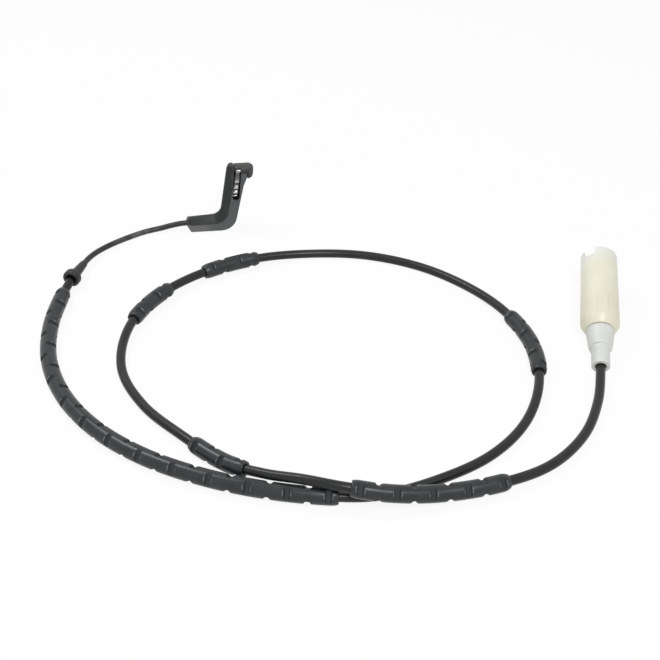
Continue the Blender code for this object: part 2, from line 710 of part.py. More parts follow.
def make_boot(cable_end):
    bore = CABLE_D / 2 + SEAT_GAP
    front = BOOT_L + BOOT_PLUG_L
    ledge = BOOT_CUFF_L
    core_bore = TERMINAL_SPREAD / 2 + CRIMP_R + SEAT_GAP
    profile = [(core_bore, front), (BOOT_PLUG_R - BOOT_LEDGE, front), (BOOT_PLUG_R, front - BOOT_LEDGE),
               (BOOT_PLUG_R, BOOT_L - SEAT_GAP), (BOOT_FRONT_R, BOOT_L - SEAT_GAP),
               (BOOT_FRONT_R - BOOT_LEDGE / 2, BOOT_L - BOOT_RIM_L),
               (BOOT_FRONT_R - 2 * BOOT_LEDGE, ledge + BOOT_LEDGE_L),
               (BOOT_REAR_R + 2 * BOOT_LEDGE, ledge), (BOOT_REAR_R + BOOT_LEDGE / 2, ledge - BOOT_LEDGE / 4),
               (BOOT_REAR_R, ledge - BOOT_LEDGE_L), (BOOT_REAR_R, 0.0), (bore, 0.0),
               (bore, cable_end + SEAT_GAP), (core_bore, cable_end + BOOT_FUNNEL_L)]
    return turned_part("connector_boot", profile, "boot_rubber")


def make_housing():
    """Ivory shell: rear socket for the boot, a partition and a deep open mouth."""
    rear = BOOT_L
    front = BOOT_L + HOUSING_L
    inner = MOUTH_R - HOUSING_WALL
    socket = BOOT_PLUG_R + SEAT_GAP
    shelf = rear + BOOT_PLUG_L + SEAT_GAP
    floor = shelf + PARTITION_T
    hole = TERMINAL_SPREAD / 2 + CRIMP_R + SEAT_GAP
    lip = HOUSING_WALL / 4
    mouth = [(inner, front), (MOUTH_R - lip, front), (MOUTH_R, front - lip)]
    shoulder = [(HOUSING_R, shoulder_station()), (BOOT_FRONT_R + SEAT_GAP, rear), (socket, rear)]
    profile = mouth + shoulder + [(socket, shelf), (hole, shelf), (hole, floor), (inner, floor)]
    housing = turned_part("connector_housing", profile, "ivory_plastic", steps=HOUSING_STEPS)

    notch = box_mesh("mouth_notch_cutter", (-MOUTH_NOTCH_W / 2, 0, front - MOUTH_NOTCH_DEPTH),
                     (MOUTH_NOTCH_W / 2, 2 * HOUSING_R, front + MOUTH_NOTCH_DEPTH))
    notch_cutter = add_cutter("mouth_notch_cutter", notch)
    notch_cutter.rotation_euler = (0, 0, math.radians(MOUTH_NOTCH_TURN))
    cut(housing, notch_cutter)

    flat_r = HOUSING_R * math.cos(math.pi / HOUSING_STEPS)
    ramp_end = RAMP_STATION + RAMP_L
    crest = HOUSING_R + RAMP_H
    outline = [(RAMP_STATION, flat_r - RAMP_SINK), (ramp_end, flat_r - RAMP_SINK), (ramp_end, crest),
               (ramp_end - RAMP_H, crest), (RAMP_STATION, flat_r)]
    ramp = add_cutter("latch_ramp", extruded_outline("latch_ramp", outline, RAMP_W))
    ramp.matrix_world = Matrix(((0, 1, 0, 0), (0, 0, 1, 0), (1, 0, 0, 0), (0, 0, 0, 1)))
    cut(housing, ramp, "UNION")
    return housing, [notch_cutter, ramp], floor


def make_carrier(floor):
    """Insert on the partition with two sockets for the terminals, and a ring seal round its base."""
    base = floor + SEAT_GAP
    inner = MOUTH_R - HOUSING_WALL - SEAT_GAP
    step = base + CARRIER_BASE_T
    front = base + CARRIER_L
    hole = SOCKET_R
    profile = [(0.0, front), (CARRIER_R - SEAT_GAP, front), (CARRIER_R, front - SEAT_GAP), (CARRIER_R, step),
               (inner, step), (inner, base), (0.0, base)]
    carrier = turned_part("terminal_carrier", profile, "carrier_plastic", steps=SMALL_STEPS)
    cutter_bodies = []
    for index, side in enumerate((-1, 1), start=1):
        name = f"terminal_hole_cutter_{index}"
        bm = bmesh.new()
        place = Matrix.Translation((side * TERMINAL_SPREAD / 2, 0, base + CARRIER_L / 2))
        bmesh.ops.create_cone(bm, cap_ends=True, segments=12, radius1=hole, radius2=hole,
                              depth=CARRIER_L + 2 * CARRIER_BASE_T, matrix=place)
        mesh = bpy.data.meshes.new(name)
        bm.to_mesh(mesh)
        bm.free()
        cutter = add_cutter(name, mesh)
        cut(carrier, cutter)
        cutter_bodies.append(cutter)
    seal_low = step + SEAT_GAP
    seal_in = CARRIER_R + SEAT_GAP
    seal_out = inner
    seal_profile = [(seal_in, seal_low + SEAL_T), (seal_out - SEAT_GAP, seal_low + SEAL_T),
                    (seal_out, seal_low + SEAL_T / 2), (seal_out - SEAT_GAP, seal_low), (seal_in, seal_low)]
    seal = turned_part("mouth_seal", seal_profile, "seal_silicone", steps=SMALL_STEPS)
    return [carrier, seal], cutter_bodies, base, front


def make_terminals(cable_end, base, front):
    """Two contact pins with their crimps, and the two cores that run to them from the cable."""
    pieces = []
    rear = base - PARTITION_T
    top = front - SEAT_GAP
    for index, side in enumerate((-1, 1), start=1):
        profile = [(0.0, top), (TERMINAL_R / 2, top), (TERMINAL_R, top - TERMINAL_R)]
        profile += [(TERMINAL_R, base + TERMINAL_R), (CRIMP_R, base), (CRIMP_R, rear), (0.0, rear)]
        terminal = turned_part(f"terminal_{index}", profile, "tinned_brass", steps=PIN_STEPS)
        terminal.location = (side * TERMINAL_SPREAD / 2, 0, 0)
        start_z = cable_end + 6 * SEAT_GAP
        end_z = rear - SEAT_GAP
        bend = (end_z - start_z) / 3
        near_x = side * CORE_SPREAD / 2
        far_x = side * TERMINAL_SPREAD / 2
        stations = ((near_x, start_z), (near_x, start_z + bend), (far_x, end_z - bend), (far_x, end_z))
        points = [Vector((x, 0, z)) for x, z in stations]
        name = f"plug_core_{index}"
        core = add_part(name, tube_curve(name, points, CORE_D, 2), "core_insulation")
        pieces += [terminal, core]
    return pieces


def make_plug(cable_path):
    frame = plug_frame()
    cable_end = cable_end_station(cable_path, frame)
    holder = bpy.data.objects.new("plug_axis", None)
    cutters.objects.link(holder)
    holder.matrix_world = frame
    boot = make_boot(cable_end)
    housing, housing_cutters, floor = make_housing()
    carrier, carrier_cutters, base, front = make_carrier(floor)
    terminals = make_terminals(cable_end, base, front)
    for piece in [boot, housing, *housing_cutters, *carrier, *carrier_cutters, *terminals]:
        piece.parent = holder


clear_scene()
parts = new_collection("brake_pad_wear_sensor")
cutters = new_collection("cutters")
lead = smooth_path(LEAD_ROUTE, MM)
cable = smooth_path(CABLE_ROUTE, MM)
make_head()
make_tip()
make_wear_loop()
make_spring()
make_cord("sensor_lead", lead, LEAD_POINTS, LEAD_D, 2, "lead_jacket")
make_cord("main_cable", cable, CABLE_POINTS, CABLE_D, 2, "cable_jacket")
make_collar(lead, cable)
make_sleeves(cable)
make_plug(cable)
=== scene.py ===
import math

import bmesh
import bpy
from mathutils import Matrix, Vector
from mathutils.geometry import interpolate_bezier


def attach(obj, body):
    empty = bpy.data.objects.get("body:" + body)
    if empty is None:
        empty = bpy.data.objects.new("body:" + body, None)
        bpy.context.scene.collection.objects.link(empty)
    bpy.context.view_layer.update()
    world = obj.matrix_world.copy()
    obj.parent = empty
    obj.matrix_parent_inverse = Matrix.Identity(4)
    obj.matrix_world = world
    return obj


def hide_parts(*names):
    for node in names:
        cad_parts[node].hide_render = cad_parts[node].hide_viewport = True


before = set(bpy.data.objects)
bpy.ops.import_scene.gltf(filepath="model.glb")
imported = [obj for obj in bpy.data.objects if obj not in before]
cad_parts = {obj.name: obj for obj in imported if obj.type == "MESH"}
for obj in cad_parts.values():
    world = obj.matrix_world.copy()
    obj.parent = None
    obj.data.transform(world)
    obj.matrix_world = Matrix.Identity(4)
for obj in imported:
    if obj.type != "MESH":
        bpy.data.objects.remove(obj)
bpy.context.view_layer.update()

mm = 0.001
print("stage: frame loaded")


# Nodes: one wrapped socket and one way to add a node, for materials and geometry trees alike
class Link:
    def __init__(self, graph, socket):
        self.graph = graph
        self.socket = socket

    def maths(self, operation, first, second):
        return self.graph.node("ShaderNodeMath", {"operation": operation}, {0: first, 1: second})

    def __add__(self, other):
        return self.maths("ADD", self, other)

    def __radd__(self, other):
        return self.maths("ADD", other, self)

    def __sub__(self, other):
        return self.maths("SUBTRACT", self, other)

    def __rsub__(self, other):
        return self.maths("SUBTRACT", other, self)

    def __mul__(self, other):
        return self.maths("MULTIPLY", self, other)

    def __rmul__(self, other):
        return self.maths("MULTIPLY", other, self)

    def __mod__(self, other):
        return self.maths("MODULO", self, other)

    def __gt__(self, other):
        return self.maths("GREATER_THAN", self, other)

    def __abs__(self):
        return self.maths("ABSOLUTE", self, 0.0)


class Graph:
    def __init__(self, tree):
        self.tree = tree

    def node(self, kind, settings, sockets, output=0):
        made = self.tree.nodes.new(kind)
        for key, value in settings.items():
            setattr(made, key, value)
        for key, value in sockets.items():
            if isinstance(value, Link):
                self.tree.links.new(value.socket, made.inputs[key])
            else:
                made.inputs[key].default_value = value
        return Link(self, made.outputs[output])

    def other(self, link, name):  # another output of the node that a link comes from
        return Link(self, link.socket.node.outputs[name])

    def steps(self, link, low, high):  # 0 below low, 1 above high
        return self.node("ShaderNodeMapRange", {"interpolation_type": "SMOOTHSTEP"},
                         {"Value": link, "From Min": low, "From Max": high})

    def axis(self, vector, name):  # one number of a vector
        return self.node("ShaderNodeSeparateXYZ", {}, {"Vector": vector}, name)

    def vector(self, x=0.0, y=0.0, z=0.0):
        return self.node("ShaderNodeCombineXYZ", {}, {"X": x, "Y": y, "Z": z})

    def vectorMaths(self, operation, sockets, output=0):
        return self.node("ShaderNodeVectorMath", {"operation": operation}, sockets, output)


class Finish(Graph):
    def __init__(self, name, look):
        self.material = bpy.data.materials.new(name)
        self.material.use_nodes = True
        super().__init__(self.material.node_tree)
        self.shader = self.tree.nodes["Principled BSDF"]
        self.shader.inputs["Metallic"].default_value = look.get("metallic", 0.0)
        self.shader.inputs["Specular IOR Level"].default_value = look.get("shine", 0.5)
        self.place = self.node("ShaderNodeTexCoord", {}, {}, "Object")

    def feed(self, name, link):
        self.tree.links.new(link.socket, self.shader.inputs[name])

    def noise(self, size, detail=3.0, roughness=0.55):
        return self.node("ShaderNodeTexNoise", {}, {"Vector": self.place, "Scale": 1.0 / size,
                                                    "Detail": detail, "Roughness": roughness})

    def patterns(self, look):  # broad clouds and fine grain
        return self.noise(look["mottle"] * mm, 4.0), self.noise(look["grain"] * mm, 2.0)

    def mix(self, share, first, second):
        return self.node("ShaderNodeMix", {"data_type": "RGBA"},
                         {"Factor": share, 6: first, 7: second}, 2)

    def attribute(self, name):
        return self.node("ShaderNodeAttribute", {"attribute_name": name}, {}, "Fac")

    def bump(self, height, distance):
        return self.node("ShaderNodeBump", {}, {"Height": height, "Distance": distance})


def tint(colour, share=1.0):  # a colour made darker or lighter, with its alpha
    return (*[min(1.0, part * share) for part in colour], 1.0)


def sized(**lengths):  # lengths given in millimetres
    return {name: length * mm for name, length in lengths.items()}


def addPiece(name, data):
    piece = bpy.data.objects.new(name, data)
    bpy.context.scene.collection.objects.link(piece)
    return piece


# Camera and studio
studio = {
    "cameraPlace": (0.00146, -0.56420, 0.36570),
    "cameraAim": (0.05039, -0.09869, 0.0),
    "lens": 65.4545,
    "sensor": 36.0,
    "clipStart": 0.01,
    "white": (1.0, 1.0, 1.0, 1.0),
    "worldLevel": 0.40,  # what the world gives as light, where the camera sees it at full white
    "floorSize": 6.0,
    "floorWhite": (0.98, 0.98, 0.98, 1.0),
    "shadowShare": 0.10,
    "lamps": {  # place, size, power
        "keyLamp": ((0.16, -0.62, 0.80), 0.26, 3.8),
        "leftLamp": ((-0.34, 0.16, 0.78), 0.28, 2.3),
    },
}


def aimAt(thing, place, target):
    thing.location = place
    direction = Vector(target) - Vector(place)
    thing.rotation_euler = direction.to_track_quat("-Z", "Y").to_euler()


def makeCamera():
    data = bpy.data.cameras.new("camera")
    data.lens = studio["lens"]
    data.sensor_width = studio["sensor"]
    data.clip_start = studio["clipStart"]
    camera = addPiece("camera", data)
    aimAt(camera, studio["cameraPlace"], studio["cameraAim"])
    bpy.context.scene.camera = camera


def makeLamps():
    for name, (place, size, power) in studio["lamps"].items():
        data = bpy.data.lights.new(name, "AREA")
        data.shape = "SQUARE"
        data.size = size
        data.energy = power
        aimAt(addPiece(name, data), place, studio["cameraAim"])


def seenRays(graph):  # 1 for what is seen, straight, through a clear piece or in a gloss
    camera = graph.node("ShaderNodeLightPath", {}, {}, "Is Camera Ray")
    glossy = graph.other(camera, "Is Glossy Ray")
    through = graph.other(camera, "Is Transmission Ray")
    return graph.node("ShaderNodeMath", {"operation": "ADD", "use_clamp": True},
                      {0: camera + through, 1: glossy})


def makeWorld():
    world = bpy.data.worlds.new("studio")
    world.use_nodes = True
    graph = Graph(world.node_tree)
    background = world.node_tree.nodes["Background"]
    level = seenRays(graph) * (1.0 - studio["worldLevel"]) + studio["worldLevel"]
    background.inputs["Color"].default_value = studio["white"]
    world.node_tree.links.new(level.socket, background.inputs["Strength"])
    bpy.context.scene.world = world


def makeFloor():
    bpy.ops.mesh.primitive_plane_add(size=studio["floorSize"])
    floor = bpy.context.object
    floor.name = "floor"
    material = bpy.data.materials.new("floorWhite")
    material.use_nodes = True
    tree = material.node_tree
    tree.nodes.clear()
    graph = Graph(tree)
    matt = graph.node("ShaderNodeBsdfDiffuse", {}, {"Color": studio["floorWhite"]})
    glow = graph.node("ShaderNodeEmission", {}, {"Color": studio["white"], "Strength": 1.0})
    seen = seenRays(graph) * (1.0 - studio["shadowShare"])
    mixed = graph.node("ShaderNodeMixShader", {}, {0: seen, 1: matt, 2: glow})
    out = tree.nodes.new("ShaderNodeOutputMaterial")
    tree.links.new(mixed.socket, out.inputs["Surface"])
    floor.data.materials.append(material)


makeCamera()
makeWorld()
makeFloor()
makeLamps()
bpy.context.scene.view_settings.view_transform = "Standard"
print("stage: studio ready")


# Mesh helpers
rounding = {"reach": 0.45, "pull": 0.6, "weld": 0.01 * mm, "sliver": 0.02 * mm}


def plainPiece(source):  # an object's evaluated mesh, under the same name, with no modifiers left
    bpy.context.view_layer.update()
    mesh = bpy.data.meshes.new_from_object(source.evaluated_get(bpy.context.evaluated_depsgraph_get()))
    mesh.transform(source.matrix_world)
    name = source.name
    bpy.data.objects.remove(source)
    return addPiece(name, mesh)


def paint(piece, finish):
    piece.data.materials.clear()
    piece.data.materials.append(finishes[finish].material)


def dress(piece, finish, nodes, sharp=35.0):
    paint(piece, finish)
    piece.data.shade_smooth()
    piece.data.set_sharp_from_angle(angle=math.radians(sharp))
    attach(piece, "root")
    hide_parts(*nodes)
    return piece


def softEdges(piece, width, segments=2, angle=30.0):
    bevel = piece.modifiers.new("softEdges", "BEVEL")
    bevel.width = width
    bevel.segments = segments
    bevel.limit_method = "ANGLE"
    bevel.angle_limit = math.radians(angle)


def cutAway(piece, *cutters, operation="DIFFERENCE"):
    for cutter in cutters:
        modifier = piece.modifiers.new("cut", "BOOLEAN")
        modifier.operation = operation
        modifier.object = cutter
        modifier.solver = "EXACT"


def thicken(piece, thickness, offset):  # an offset of -1 goes inwards, 0 goes both ways
    wall = piece.modifiers.new("thickness", "SOLIDIFY")
    wall.thickness = thickness
    wall.offset = offset


def bmeshPiece(name, bm, place=None):
    mesh = bpy.data.meshes.new(name)
    bm.to_mesh(mesh)
    bm.free()
    if place is not None:
        mesh.transform(place)
    return addPiece(name, mesh)


def boxPiece(name, low, high, place=None):
    bm = bmesh.new()
    bmesh.ops.create_cube(bm, size=1.0)
    bmesh.ops.scale(bm, vec=Vector(high) - Vector(low), verts=bm.verts)
    bmesh.ops.translate(bm, vec=(Vector(low) + Vector(high)) / 2, verts=bm.verts)
    return bmeshPiece(name, bm, place)


def rodPiece(name, radius, length, place, sides=48):  # a plain round cutter along Z
    bm = bmesh.new()
    bmesh.ops.create_cone(bm, cap_ends=True, segments=sides, radius1=radius, radius2=radius,
                          depth=length)
    return bmeshPiece(name, bm, place)


def extrudedPiece(name, outline, thickness, place=None):  # an outline in X and Z, extruded along Y
    bm = bmesh.new()
    face = bm.faces.new([bm.verts.new((x, -thickness / 2, z)) for x, z in outline])
    made = bmesh.ops.extrude_face_region(bm, geom=[face])
    moved = [item for item in made["geom"] if isinstance(item, bmesh.types.BMVert)]
    bmesh.ops.translate(bm, vec=(0, thickness, 0), verts=moved)
    bmesh.ops.recalc_face_normals(bm, faces=bm.faces)
    return bmeshPiece(name, bm, place)


def mergeSlivers(piece):  # joins the points that cuts and rounded edges leave almost in one place
    bm = bmesh.new()
    bm.from_mesh(piece.data)
    bmesh.ops.remove_doubles(bm, verts=bm.verts, dist=rounding["sliver"])
    bmesh.ops.dissolve_degenerate(bm, edges=bm.edges, dist=rounding["sliver"])
    bm.to_mesh(piece.data)
    bm.free()
    return piece


def carved(piece, cutters, width, segments, angle):  # cut, softened, and the cutters gone
    cutAway(piece, *cutters)
    softEdges(piece, width, segments, angle)
    plain = plainPiece(piece)
    for cutter in cutters:
        bpy.data.objects.remove(cutter)
    return plain


def rounded(profile, radius, steps=3):  # the same profile with its inner corners rounded
    points = [profile[0]]
    for before, corner, after in zip(profile, profile[1:], profile[2:]):
        here = Vector((*corner, 0.0))
        back = Vector((*before, 0.0)) - here
        ahead = Vector((*after, 0.0)) - here
        reach = min(radius, back.length * rounding["reach"], ahead.length * rounding["reach"])
        start = here + back.normalized() * reach
        end = here + ahead.normalized() * reach
        pulls = [point.lerp(here, rounding["pull"]) for point in (start, end)]
        curve = interpolate_bezier(start, *pulls, end, steps + 1)
        points += [(point.x, point.y) for point in curve]
    points.append(profile[-1])
    return points


def roundedLoop(outline, radius, steps=3):
    return rounded([outline[-1], *outline, outline[0]], radius, steps)[1:-1]


def turnedPiece(name, profile, steps, place=None):  # a profile of radius and station, turned about Z
    bm = bmesh.new()
    verts = [bm.verts.new((radius, 0.0, station)) for radius, station in profile]
    edges = [bm.edges.new(pair) for pair in zip(verts, verts[1:])]
    if profile[0][0] > 0.0 and profile[-1][0] > 0.0:
        edges.append(bm.edges.new((verts[-1], verts[0])))
    bmesh.ops.spin(bm, geom=verts + edges, cent=(0, 0, 0), axis=(0, 0, 1), angle=2 * math.pi,
                   steps=steps, use_merge=True)
    bmesh.ops.remove_doubles(bm, verts=bm.verts, dist=rounding["weld"])
    bmesh.ops.recalc_face_normals(bm, faces=bm.faces)
    return bmeshPiece(name, bm, place)


def skinnedPiece(name, sections, closed=True):  # a skin over sections with as many points each
    bm = bmesh.new()
    rings = [[bm.verts.new(point) for point in section] for section in sections]
    for ring, following in zip(rings, rings[1:]):
        for index in range(len(ring)):
            after = (index + 1) % len(ring)
            bm.faces.new((ring[index], ring[after], following[after], following[index]))
    if closed:
        bm.faces.new(list(reversed(rings[0])))
        bm.faces.new(rings[-1])
    bmesh.ops.recalc_face_normals(bm, faces=bm.faces)
    return bmeshPiece(name, bm)


def arc(centre, radius, start, end, steps):  # points on an arc, angles in degrees
    angles = [math.radians(start + (end - start) * step / steps) for step in range(steps + 1)]
    return [(centre[0] + radius * math.cos(angle), centre[1] + radius * math.sin(angle))
            for angle in angles]


def frameAlong(start, direction):  # Z runs along a direction, Y points up as far as it can
    zAxis = direction.normalized()
    xAxis = Vector((0, 0, 1)).cross(zAxis).normalized()
    yAxis = zAxis.cross(xAxis)
    return Matrix.Translation(start) @ Matrix((xAxis, yAxis, zAxis)).transposed().to_4x4()


# Geometry Nodes trees
def newTree(name, inputs):
    tree = bpy.data.node_groups.new(name, "GeometryNodeTree")
    tree.interface.new_socket("Geometry", in_out="OUTPUT", socket_type="NodeSocketGeometry")
    tree.interface.new_socket("Geometry", in_out="INPUT", socket_type="NodeSocketGeometry")
    for label, kind in inputs.items():
        tree.interface.new_socket(label, in_out="INPUT", socket_type="NodeSocket" + kind)
    graph = Graph(tree)
    source = graph.node("NodeGroupInput", {}, {}, "Geometry")
    given = {label: graph.other(source, label) for label in ["Geometry", *inputs]}
    return graph, given


def endTree(graph, geometry, finish):
    real = graph.node("GeometryNodeRealizeInstances", {}, {"Geometry": geometry})
    painted = graph.node("GeometryNodeSetMaterial", {}, {"Geometry": real, "Material": finish})
    out = graph.tree.nodes.new("NodeGroupOutput")
    graph.tree.links.new(painted.socket, out.inputs["Geometry"])


def runTree(piece, graph, values):
    modifier = piece.modifiers.new(graph.tree.name, "NODES")
    modifier.node_group = graph.tree
    for item in graph.tree.interface.items_tree:
        if item.item_type == "SOCKET" and item.in_out == "INPUT" and item.name in values:
            modifier[item.identifier] = values[item.name]


def stored(graph, geometry, name, value, domain):  # geometry with a number kept on it under a name
    return graph.node("GeometryNodeStoreNamedAttribute", {"data_type": "FLOAT", "domain": domain},
                      {"Geometry": geometry, "Name": name, "Value": value})


# Finishes: grain, mottle, bump and the places of marks are in millimetres
def look(colour, roughness, grain, mottle, **more):
    return {"colour": colour, "roughness": roughness, "grain": grain, "mottle": mottle, **more}


looks = {
    "headPlastic": look((0.020, 0.023, 0.023), 0.38, 0.25, 5.0, shine=0.34, spread=0.16, bump=0.006,
                        dust=0.07,
                        # the flank colours are a painted sheen on the flat faces: beside the lead,
                        # beyond it, and the stretch along X between them
                        flank=((0.150, 0.150, 0.148), (0.096, 0.105, 0.105), (-11.0, -3.0))),
    "tipPlastic": look((0.034, 0.036, 0.030), 0.46, 0.22, 4.0, shine=0.40, spread=0.14, bump=0.006,
                       dust=0.07),
    "leadRubber": look((0.024, 0.025, 0.024), 0.40, 0.18, 7.0, shine=0.34, spread=0.20, bump=0.004,
                       dust=0.10, streak=(18.0, 52.0)),
    "cableJacket": look((0.013, 0.014, 0.014), 0.29, 0.16, 9.0, shine=0.32, spread=0.20,
                        # the neck stretch along the cable, in millimetres, is where the painted shade
                        # by the collar fades out
                        bump=0.0015, dust=0.04, neck=(12.0, 15.0)),
    "sleeveRubber": look((0.020, 0.023, 0.025), 0.31, 0.20, 6.0, shine=0.38, range=(0.82, 1.22),
                         bump=0.002),
    "coreInsulation": look((0.025, 0.025, 0.025), 0.45, 0.15, 3.0),
    "sealSilicone": look((0.55, 0.20, 0.08), 0.50, 0.20, 3.0),
    "bootRubber": look((0.72, 0.735, 0.70), 0.42, 0.30, 6.0, spread=0.03, bump=0.010),
    "ivoryPlastic": look((0.86, 0.842, 0.685), 0.36, 0.35, 14.0, spread=0.02, bump=0.006,
                         # mouth and rear: a painted light, whiter at the mouth, and a painted shade,
                         # darker and warmer at the rear, each with where along Y it starts and ends
                         mouth=((0.865, 0.885, 0.84), -92.0, -78.0),
                         rear=((0.79, 0.74, 0.59), -116.0, -96.0)),
    "carrierPlastic": look((0.80, 0.78, 0.64), 0.42, 0.30, 8.0),
    "springSteel": look((0.62, 0.62, 0.60), 0.24, 0.08, 2.0, metallic=1.0, trough=0.22),
    "bareCopper": look((0.78, 0.40, 0.24), 0.28, 0.08, 1.0, metallic=1.0),
    "tinnedBrass": look((0.74, 0.70, 0.56), 0.26, 0.08, 2.0, metallic=1.0),
}
marks = {  # colours laid over a finish, how much of them shows and how large they are
    # the neck colour is a painted shade in the gap between the collar and the first sleeve
    "dust": (0.30, 0.31, 0.30), "neck": (0.002, 0.002, 0.002), "streak": (0.26, 0.265, 0.255),
    # the slot wall colour is a painted tone for the light in the slots, and the slot rim colour is a
    # painted highlight along their lips
    "scuff": (0.26, 0.28, 0.28), "slotWall": (0.028, 0.031, 0.032), "slotRim": (0.20, 0.212, 0.208),
    # the mouth and rear shares set how strongly the painted light and painted shade on the plug show
    "mouthLightShare": 0.8, "rearShadeShare": 0.6, "streakShare": 0.30, "scuffShare": 0.06, "paintedSlotToneShare": 0.7,
    "rimHighlightShare": 0.75, "speckSize": 0.35, "scuffSize": 1.6, "streakCore": 0.4,
}
spans = {  # where a pattern begins to show and where it shows in full
    "cloud": (0.32, 0.68), "dust": (0.56, 0.80), "flank": (0.86, 0.98), "streak": (0.35, 0.65),
    "sleeveCloud": (0.30, 0.70), "scuff": (0.55, 0.78),
}
roughening = {  # what each pattern adds to the roughness, and what is taken off before
    "moulded": {"cloud": 0.14, "grain": 0.08, "less": 0.11},
    "sleeve": {"cloud": 0.16, "scuff": 0.10, "slotWall": 0.35, "less": 0.10},
    "metal": {"cloud": 0.20, "less": 0.08},
}


def mouldedFinish(name):
    given = looks[name]
    finish = Finish(name, given)
    spread = given.get("spread", 0.12)
    cloud, grain = finish.patterns(given)
    low, high = tint(given["colour"], 1.0 - spread), tint(given["colour"], 1.0 + spread)
    colour = finish.mix(finish.steps(cloud, *spans["cloud"]), low, high)
    if "dust" in given:
        specks = finish.noise(given["mottle"] * marks["speckSize"] * mm, 5.0, 0.7)
        pale = finish.steps(specks, *spans["dust"]) * given["dust"]
        colour = finish.mix(pale, colour, tint(marks["dust"]))
    if "flank" in given:  # flat flanks painted paler as a painted sheen, palest beside the lead; the bevels keep the darker base colour
        nearLead, beyond, (start, end) = given["flank"]
        along = finish.axis(finish.place, "X")
        flank = finish.mix(finish.steps(along, start * mm, end * mm), tint(nearLead), tint(beyond))
        normal = finish.node("ShaderNodeNewGeometry", {}, {}, "Normal")
        flat = abs(finish.axis(normal, "Y"))
        colour = finish.mix(finish.steps(flat, *spans["flank"]), colour, flank)
    if "mouth" in given:  # painted light and shade: whiter towards the plug's mouth as painted light, darker and warmer towards its rear as painted shade
        along = finish.axis(finish.place, "Y")
        (pale, paleStart, paleEnd), (warm, warmStart, warmEnd) = given["mouth"], given["rear"]
        paintedMouthLight = finish.steps(along, paleStart * mm, paleEnd * mm)
        paintedRearShade = 1.0 - finish.steps(along, warmStart * mm, warmEnd * mm)
        colour = finish.mix(paintedMouthLight * marks["mouthLightShare"], colour, tint(pale))
        colour = finish.mix(paintedRearShade * marks["rearShadeShare"], colour, tint(warm))
    if "neck" in given:  # painted shade: near-black between the collar and the first sleeve, where shade falls in the gap
        start, end = given["neck"]
        shadedNeck = 1.0 - finish.steps(finish.attribute("along"), start * mm, end * mm)
        colour = finish.mix(shadedNeck, colour, tint(marks["neck"]))
    if "streak" in given:  # rubbed paler on a stretch of the lead
        start, end = given["streak"]
        middle, reach = (start + end) / 2 * mm, (end - start) / 2 * mm
        away = abs(finish.attribute("along") - middle)
        inStretch = 1.0 - finish.steps(away, reach * marks["streakCore"], reach)
        worn = inStretch * finish.steps(cloud, *spans["streak"])
        colour = finish.mix(worn * marks["streakShare"], colour, tint(marks["streak"]))
    rough = roughening["moulded"]
    finish.feed("Base Color", colour)
    finish.feed("Roughness", cloud * rough["cloud"] + grain * rough["grain"]
                + (given["roughness"] - rough["less"]))
    finish.feed("Normal", finish.bump(grain + cloud * 0.6, given.get("bump", 0.005) * mm))
    return finish


def sleeveFinish():
    given = looks["sleeveRubber"]
    finish = Finish("sleeveRubber", given)
    cloud, grain = finish.patterns(given)
    scuff = finish.steps(finish.noise(marks["scuffSize"] * mm, 5.0, 0.7), *spans["scuff"])
    slot = finish.attribute("slotWall")
    rim = finish.attribute("slotRim")
    low, high = (tint(given["colour"], share) for share in given["range"])
    colour = finish.mix(finish.steps(cloud, *spans["sleeveCloud"]), low, high)
    colour = finish.mix(scuff * marks["scuffShare"], colour, tint(marks["scuff"]))
    # painted tone: the slot walls take a set colour, a little paler than the rubber, standing in for
    # the light in the slots
    colour = finish.mix(slot * marks["paintedSlotToneShare"], colour, tint(marks["slotWall"]))
    # painted highlight: a pale line along the slot rims, where light catches the lip
    colour = finish.mix(rim * marks["rimHighlightShare"], colour, tint(marks["slotRim"]))
    rough = roughening["sleeve"]
    finish.feed("Base Color", colour)
    finish.feed("Roughness", cloud * rough["cloud"] + scuff * rough["scuff"] + slot * rough["slotWall"]
                + (given["roughness"] - rough["less"]))
    finish.feed("Normal", finish.bump(grain + cloud * 0.5, given["bump"] * mm))
    return finish


def metalFinish(name):
    given = looks[name]
    finish = Finish(name, given)
    cloud, grain = finish.patterns(given)
    colour = finish.mix(cloud, tint(given["colour"], 0.80), tint(given["colour"], 1.15))
    if "trough" in given:  # tarnished in its troughs, rubbed bright on its crests
        colour = finish.mix(finish.attribute("crest"), tint(given["colour"], given["trough"]), colour)
    rough = roughening["metal"]
    finish.feed("Base Color", colour)
    finish.feed("Roughness", cloud * rough["cloud"] + (given["roughness"] - rough["less"]))
    finish.feed("Normal", finish.bump(grain, 0.006 * mm))
    return finish


finishes = {"sleeveRubber": sleeveFinish()}
for name, given in looks.items():
    if name not in finishes:
        finishes[name] = metalFinish(name) if "metallic" in given else mouldedFinish(name)
print("stage: finishes ready")


